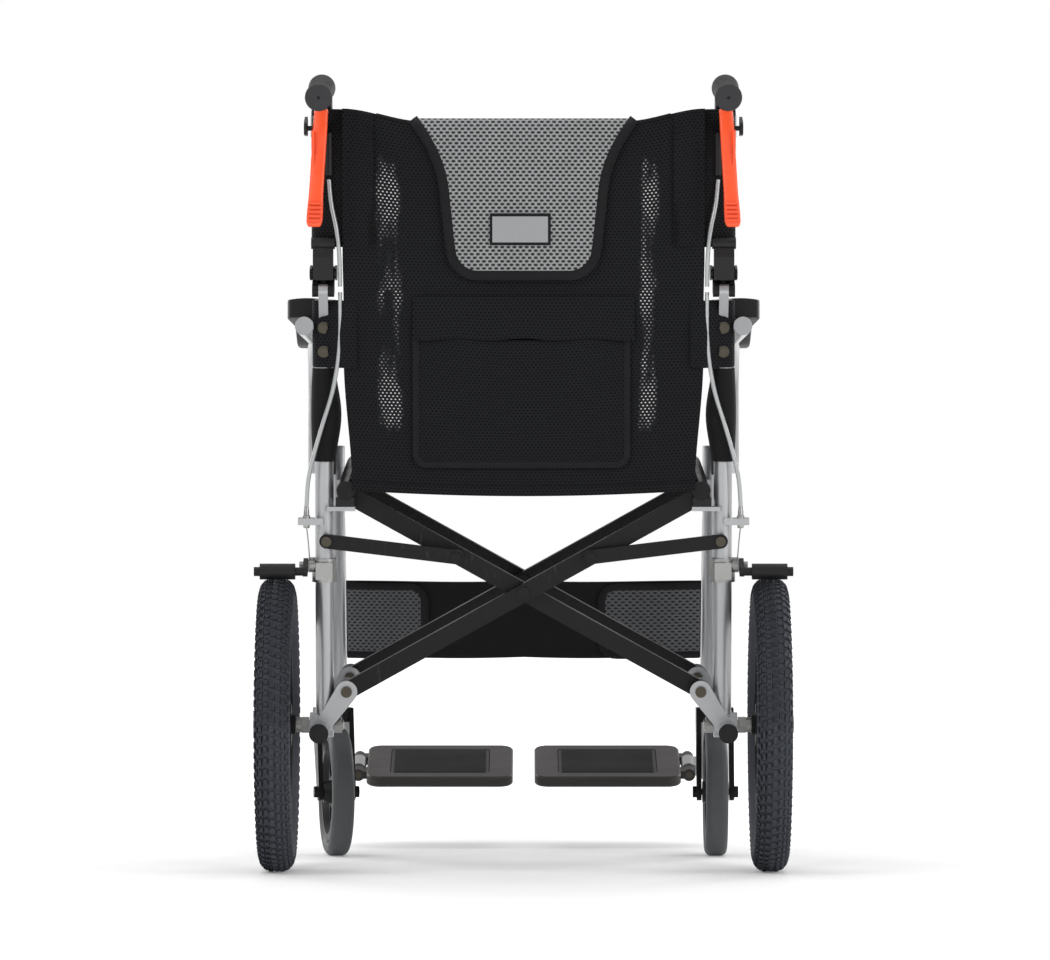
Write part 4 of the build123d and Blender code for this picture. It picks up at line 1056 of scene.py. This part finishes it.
def make_foot_pad(name, side):
    """The ribbed rubber pad let into a footplate."""
    low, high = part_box("footplate_pad_" + name)
    tilt = math.radians(13)
    middle = (low + high) / 2
    bm = new_bmesh()
    across = Vector((1, 0, 0))
    forward = Vector((0, math.cos(tilt), math.sin(tilt)))
    up = across.cross(forward)
    width, depth = (high.x - low.x) / MM, 118.0
    block(bm, middle - up * 0.0006, (width, depth, 2.2), (across, forward, up), 0.8)
    ribs = 21
    for index in range(ribs):
        y = between((index + 0.5) / ribs, -depth / 2 + 2, depth / 2 - 2)
        place = middle + forward * (y * MM) + up * 0.0009
        block(bm, place, (width - 7, 2.6, 1.6), (across, forward, up), 0.5, 0.97)
    made = finished(bm, "ribbed_foot_pad_" + name, smooth=False)
    coat(made, "Black plastic")
    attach(made, "footplate_" + name)
    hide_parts("footplate_pad_" + name)


# --- brake levers
LEVER_X = 238.0
LEVER_SPLAY = 8.0
LEVER_PIVOT_UP, LEVER_TIP_UP = 735.0, 597.0


def lever_spot(x, share):
    """A point of the lever's curved middle, from its pivot at 0 down to its tip at 1."""
    up = between(share, LEVER_PIVOT_UP, LEVER_TIP_UP)
    behind = 38.0 + 9.0 * smooth_step(0.0, 0.25, share) + 19.0 * smooth_step(0.2, 1.0, share)
    return on_back(x, up, behind)


def make_lever(name, side):
    """A brake lever: a curved orange blade with a ribbed finger pad, a raised edge and six slots."""
    bm = new_bmesh()
    bmesh.ops.create_cube(bm, size=1.0, calc_uvs=True)
    long_edges = [e for e in bm.edges if abs(e.verts[0].co.z - e.verts[1].co.z) > 0.5]
    bmesh.ops.subdivide_edges(bm, edges=long_edges, cuts=20)
    for vert in bm.verts:
        share = 0.5 - vert.co.z
        width = between(smooth_step(0.0, 0.2, share), 16.0, 17.0) + 2.0 * smooth_step(0.68, 0.9, share)
        width -= 4.0 * smooth_step(0.95, 1.0, share)
        depth = between(smooth_step(0.0, 0.3, share), 13.0, 9.0)
        splay = LEVER_SPLAY * share
        x = LEVER_X + splay + vert.co.x * width * side * -1
        vert.co = lever_spot(side * x, share) - FORWARD * (vert.co.y * depth * MM)
    outward(bm)
    edges = [e for e in bm.edges if e.calc_face_angle(0) > 0.9]
    soften(bm, edges, 0.0024, 3)
    axes = (Vector((1, 0, 0)), UP_BACK, -FORWARD)
    for index in range(5):
        share = 0.80 + index * 0.036
        centre = lever_spot(side * (LEVER_X + LEVER_SPLAY * share), share) - FORWARD * 0.0050
        block(bm, centre, (14.5, 2.6, 3.0), axes, 0.7, 0.92)
    rim = lever_spot(side * (LEVER_X + 3.0 + 6.5), 0.45) - FORWARD * 0.0046
    block(bm, rim, (2.0, 74.0, 2.4), axes, 0.5)
    for row in range(3):
        for column in (-3.2, 3.2):
            share = 0.36 + row * 0.085
            middle = side * (LEVER_X + LEVER_SPLAY * share - 1.5)
            centre = lever_spot(middle + column, share) - FORWARD * 0.00475
            block(bm, centre, (2.8, 1.9, 1.6), axes, 0.0, 1.0, 1)
    made = finished(bm, "lever_blade_" + name)
    made.data.set_sharp_from_angle(angle=math.radians(40))
    coat(made, "Orange plastic", "Shadowed orange plastic")
    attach(made, "brake_lever_" + name)
    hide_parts("brake_lever_" + name)


# --- brake wires
STOP_X = 258.0


def make_brake_wire(name, side):
    """The bare wire from the cable's stop to the brake arm, with the adjuster and its nut on the stop."""
    stop = on_back(side * STOP_X, 245.0, 14.0)
    cable_end = on_back(side * STOP_X, 262.0, 12.4)
    rise = (cable_end - stop).normalized()
    bm = new_bmesh()
    adjuster = [(-8.0, 0.9), (-8.0, 3.2), (-6.6, 4.0), (-1.5, 4.0), (-1.0, 3.0), (3.0, 3.0), (3.4, 4.6),
                (6.6, 4.6), (7.2, 3.4), (13.5, 3.2), (15.0, 2.7), (18.0, 2.7), (18.0, 0.9)]
    turn(bm, adjuster, stop, rise, Vector((1, 0, 0)), 12)
    outward(bm)
    made = finished(bm, "cable_adjuster_" + name)
    made.data.set_sharp_from_angle(angle=math.radians(35))
    coat(made, "Zinc plate")
    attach(made, name + "_frame")
    foot = Vector((side * 0.2545, AXLE_Y - 0.024, 0.372))
    run = [stop - rise * 0.006, stop.lerp(foot, 0.4), stop.lerp(foot, 0.75), foot]
    wire = seam("brake_wire_" + name, name + "_frame", run, 0.8, "Zinc plate")


# --- stage
def make_stage(stage):
    """A pale floor, soft studio light and the camera straight behind the chair."""
    scene = bpy.context.scene
    bm = new_bmesh()
    bmesh.ops.create_grid(bm, x_segments=2, y_segments=2, size=30, calc_uvs=True)
    floor = finished(bm, "studio_floor", smooth=False)
    tree, shader = finish_of("Pale floor", tuple(stage.floor_colour), 0.55)
    point = node(tree, "TexCoord").outputs["Object"]
    soft = noise(tree, point, 1.4, 2.0)
    darker = tuple(c * 0.985 for c in stage.floor_colour)
    put(tree, mix(tree, soft, (*stage.floor_colour, 1), (*darker, 1)), shader.inputs["Base Color"])
    away = node(tree, "VectorMath", {0: point}, operation="LENGTH").outputs["Value"]
    far = spread(tree, away, 0.8, 4.5, 0.13, 0.75)
    glow = node(tree, "CombineXYZ", {"X": far, "Y": far, "Z": far}).outputs[0]
    put(tree, glow, shader.inputs["Emission Color"])
    shader.inputs["Emission Strength"].default_value = 1.0
    coat(floor, "Pale floor")

    world = bpy.data.worlds.new("Studio")
    world.use_nodes = True
    sky = world.node_tree
    seen = node(sky, "LightPath").outputs["Is Camera Ray"]
    put(sky, spread(sky, seen, 0.0, 1.0, stage.sky, 1.0), sky.nodes["Background"].inputs["Strength"])
    put(sky, (1, 1, 1, 1), sky.nodes["Background"].inputs["Color"])
    scene.world = world
    scene.view_settings.view_transform = "Standard"
    lamps = (
        ("Key", (-2.6, -3.4, 3.2), 2.4, stage.key),
        ("Fill", (3.0, -3.0, 1.9), 2.2, stage.key * 0.75),
        ("Top", (0.0, 0.4, 3.6), 3.2, stage.key * 0.7),
        ("Rim left", (-2.4, 2.4, 1.5), 1.4, stage.key * 0.5),
        ("Rim right", (2.4, 2.4, 1.5), 1.4, stage.key * 0.5),
    )
    for name, place, size, watts in lamps:
        light = bpy.data.lights.new(name, "AREA")
        light.size = size
        light.energy = watts
        lamp = bpy.data.objects.new(name, light)
        lamp.location = place
        aim = Vector((0, 0, 0.45)) - Vector(place)
        lamp.rotation_euler = aim.to_track_quat("-Z", "Y").to_euler()
        scene.collection.objects.link(lamp)

    lens = bpy.data.cameras.new("Camera")
    lens.lens = stage.lens
    lens.sensor_width = 36
    lens.clip_end = 100
    camera = bpy.data.objects.new("Camera", lens)
    camera.location = (0.0017, AXLE_Y - stage.distance, stage.height)
    camera.rotation_euler = (math.radians(90) + stage.pitch, 0, 0)
    scene.collection.objects.link(camera)
    scene.camera = camera


# --- settings
class WheelchairSizes(bpy.types.PropertyGroup):
    """Sizes of the rubber pieces."""

    tyre_width: FloatProperty(
        name="Tyre width", description="Width of a rear tyre", default=0.043, unit="LENGTH"
    )
    tread_blocks: IntProperty(
        name="Tread blocks", description="Blocks in each ring of the tread", default=82, min=24
    )
    grip_radius: FloatProperty(
        name="Grip radius", description="Radius of a push grip", default=0.016, unit="LENGTH"
    )


class WheelchairPaint(bpy.types.PropertyGroup):
    """Colours of the finishes."""

    frame_silver: FloatVectorProperty(
        name="Frame", description="Paint of the tubes", default=(0.385, 0.39, 0.40),
        subtype="COLOR", min=0, max=1,
    )
    lever_orange: FloatVectorProperty(
        name="Levers", description="Plastic of the brake levers", default=(0.83, 0.075, 0.012),
        subtype="COLOR", min=0, max=1,
    )
    tyre_rubber: FloatVectorProperty(
        name="Tyres", description="Rubber of the rear tyres", default=(0.042, 0.046, 0.056),
        subtype="COLOR", min=0, max=1,
    )
    mesh_grey: FloatVectorProperty(
        name="Back panel", description="Mesh of the panel at the top of the back",
        default=(0.27, 0.275, 0.28), subtype="COLOR", min=0, max=1,
    )


class WheelchairStage(bpy.types.PropertyGroup):
    """Camera and light."""

    lens: FloatProperty(name="Lens", description="Focal length in millimetres", default=200.9)
    distance: FloatProperty(
        name="Distance", description="From the rear axle to the camera", default=7.0, unit="LENGTH"
    )
    height: FloatProperty(name="Height", description="Of the camera", default=0.38, unit="LENGTH")
    pitch: FloatProperty(
        name="Pitch", description="Upward tilt of the camera", default=math.radians(0.714),
        subtype="ANGLE",
    )
    key: FloatProperty(name="Key light", description="Power in watts", default=74.0, min=0)
    sky: FloatProperty(name="Sky", description="Strength of the surrounding light", default=0.5, min=0)
    floor_colour: FloatVectorProperty(
        name="Floor", description="Colour of the floor", default=(0.9, 0.9, 0.9),
        subtype="COLOR", min=0, max=1,
    )


# --- operators
class WHEELCHAIR_OT_finishes(bpy.types.Operator):
    """Make every material and give the frame's own pieces theirs"""

    bl_idname = "wheelchair.finishes"
    bl_label = "Finishes"

    def execute(self, context):
        make_finishes(context.scene.wheelchair_paint)
        for name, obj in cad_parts.items():
            kind = name.removesuffix("_left").removesuffix("_right")
            if kind in CAD_FINISHES:
                coat(obj, CAD_FINISHES[kind])
        return {"FINISHED"}


class WHEELCHAIR_OT_rubber(bpy.types.Operator):
    """Build the treaded rear tyres, the push grips, the brake levers and their wires"""

    bl_idname = "wheelchair.rubber"
    bl_label = "Tyres, grips and levers"

    def execute(self, context):
        for name, side in SIDES:
            make_rear_tyre(name, side, context.scene.wheelchair_sizes)
            make_grip(name, side, context.scene.wheelchair_sizes)
            make_lever(name, side)
            make_brake_wire(name, side)
        return {"FINISHED"}


class WHEELCHAIR_OT_back(bpy.types.Operator):
    """Build the cloth of the back, with its sleeves and flaps"""

    bl_idname = "wheelchair.back"
    bl_label = "Back cloth"

    def execute(self, context):
        for name, side in SIDES:
            make_flap(name, side)
            make_lower_sling(name, side)
            make_upper_sling(name, side)
            make_sleeve(name, side)
            back_seams(name, side)
        return {"FINISHED"}


class WHEELCHAIR_OT_panel(bpy.types.Operator):
    """Build the grey panel, its label and the pocket"""

    bl_idname = "wheelchair.panel"
    bl_label = "Panel and pocket"

    def execute(self, context):
        for name, side in SIDES:
            make_grey_panel(name, side)
            make_label(name, side)
            make_pocket(name, side)
        return {"FINISHED"}


class WHEELCHAIR_OT_seat(bpy.types.Operator):
    """Build the seat sling, the calf strap and the side guards"""

    bl_idname = "wheelchair.seat"
    bl_label = "Seat, strap and guards"

    def execute(self, context):
        for (name, side), rail_body in zip(SIDES, ("brace_b", "brace_a")):
            make_seat(name, side)
            make_calf_strap(name, side)
            make_guard(name, side)
        return {"FINISHED"}


class WHEELCHAIR_OT_pads(bpy.types.Operator):
    """Build the armrest pads and the ribbed pads of the footplates"""

    bl_idname = "wheelchair.pads"
    bl_label = "Pads"

    def execute(self, context):
        for name, side in SIDES:
            make_armrest_pad(name, side)
            make_foot_pad(name, side)
        return {"FINISHED"}


class WHEELCHAIR_OT_stage(bpy.types.Operator):
    """Set up the floor, the lights and the camera"""

    bl_idname = "wheelchair.stage"
    bl_label = "Stage"

    def execute(self, context):
        make_stage(context.scene.wheelchair_stage)
        return {"FINISHED"}


class WHEELCHAIR_PT_panel(bpy.types.Panel):
    """Sizes, colours and pieces of the wheelchair"""

    bl_label = "Transit wheelchair"
    bl_idname = "WHEELCHAIR_PT_panel"
    bl_space_type = "VIEW_3D"
    bl_region_type = "UI"
    bl_category = "Wheelchair"

    def draw(self, context):
        for group in (context.scene.wheelchair_sizes, context.scene.wheelchair_paint,
                      context.scene.wheelchair_stage):
            box = self.layout.box()
            for name in group.__annotations__:
                box.prop(group, name)
        for operator in OPERATORS:
            self.layout.operator(operator.bl_idname)


OPERATORS = (
    WHEELCHAIR_OT_finishes,
    WHEELCHAIR_OT_rubber,
    WHEELCHAIR_OT_back,
    WHEELCHAIR_OT_panel,
    WHEELCHAIR_OT_seat,
    WHEELCHAIR_OT_pads,
    WHEELCHAIR_OT_stage,
)
CLASSES = (WheelchairSizes, WheelchairPaint, WheelchairStage, *OPERATORS, WHEELCHAIR_PT_panel)


def register():
    for kind in CLASSES:
        bpy.utils.register_class(kind)
    bpy.types.Scene.wheelchair_sizes = PointerProperty(type=WheelchairSizes)
    bpy.types.Scene.wheelchair_paint = PointerProperty(type=WheelchairPaint)
    bpy.types.Scene.wheelchair_stage = PointerProperty(type=WheelchairStage)


def unregister():
    for name in ("wheelchair_stage", "wheelchair_paint", "wheelchair_sizes"):
        delattr(bpy.types.Scene, name)
    for kind in reversed(CLASSES):
        bpy.utils.unregister_class(kind)


def main():
    """Build the whole chair."""
    register()
    bpy.ops.wheelchair.finishes()
    bpy.ops.wheelchair.rubber()
    bpy.ops.wheelchair.back()
    bpy.ops.wheelchair.panel()
    bpy.ops.wheelchair.seat()
    bpy.ops.wheelchair.pads()
    bpy.ops.wheelchair.stage()


if __name__ == "__main__":
    main()
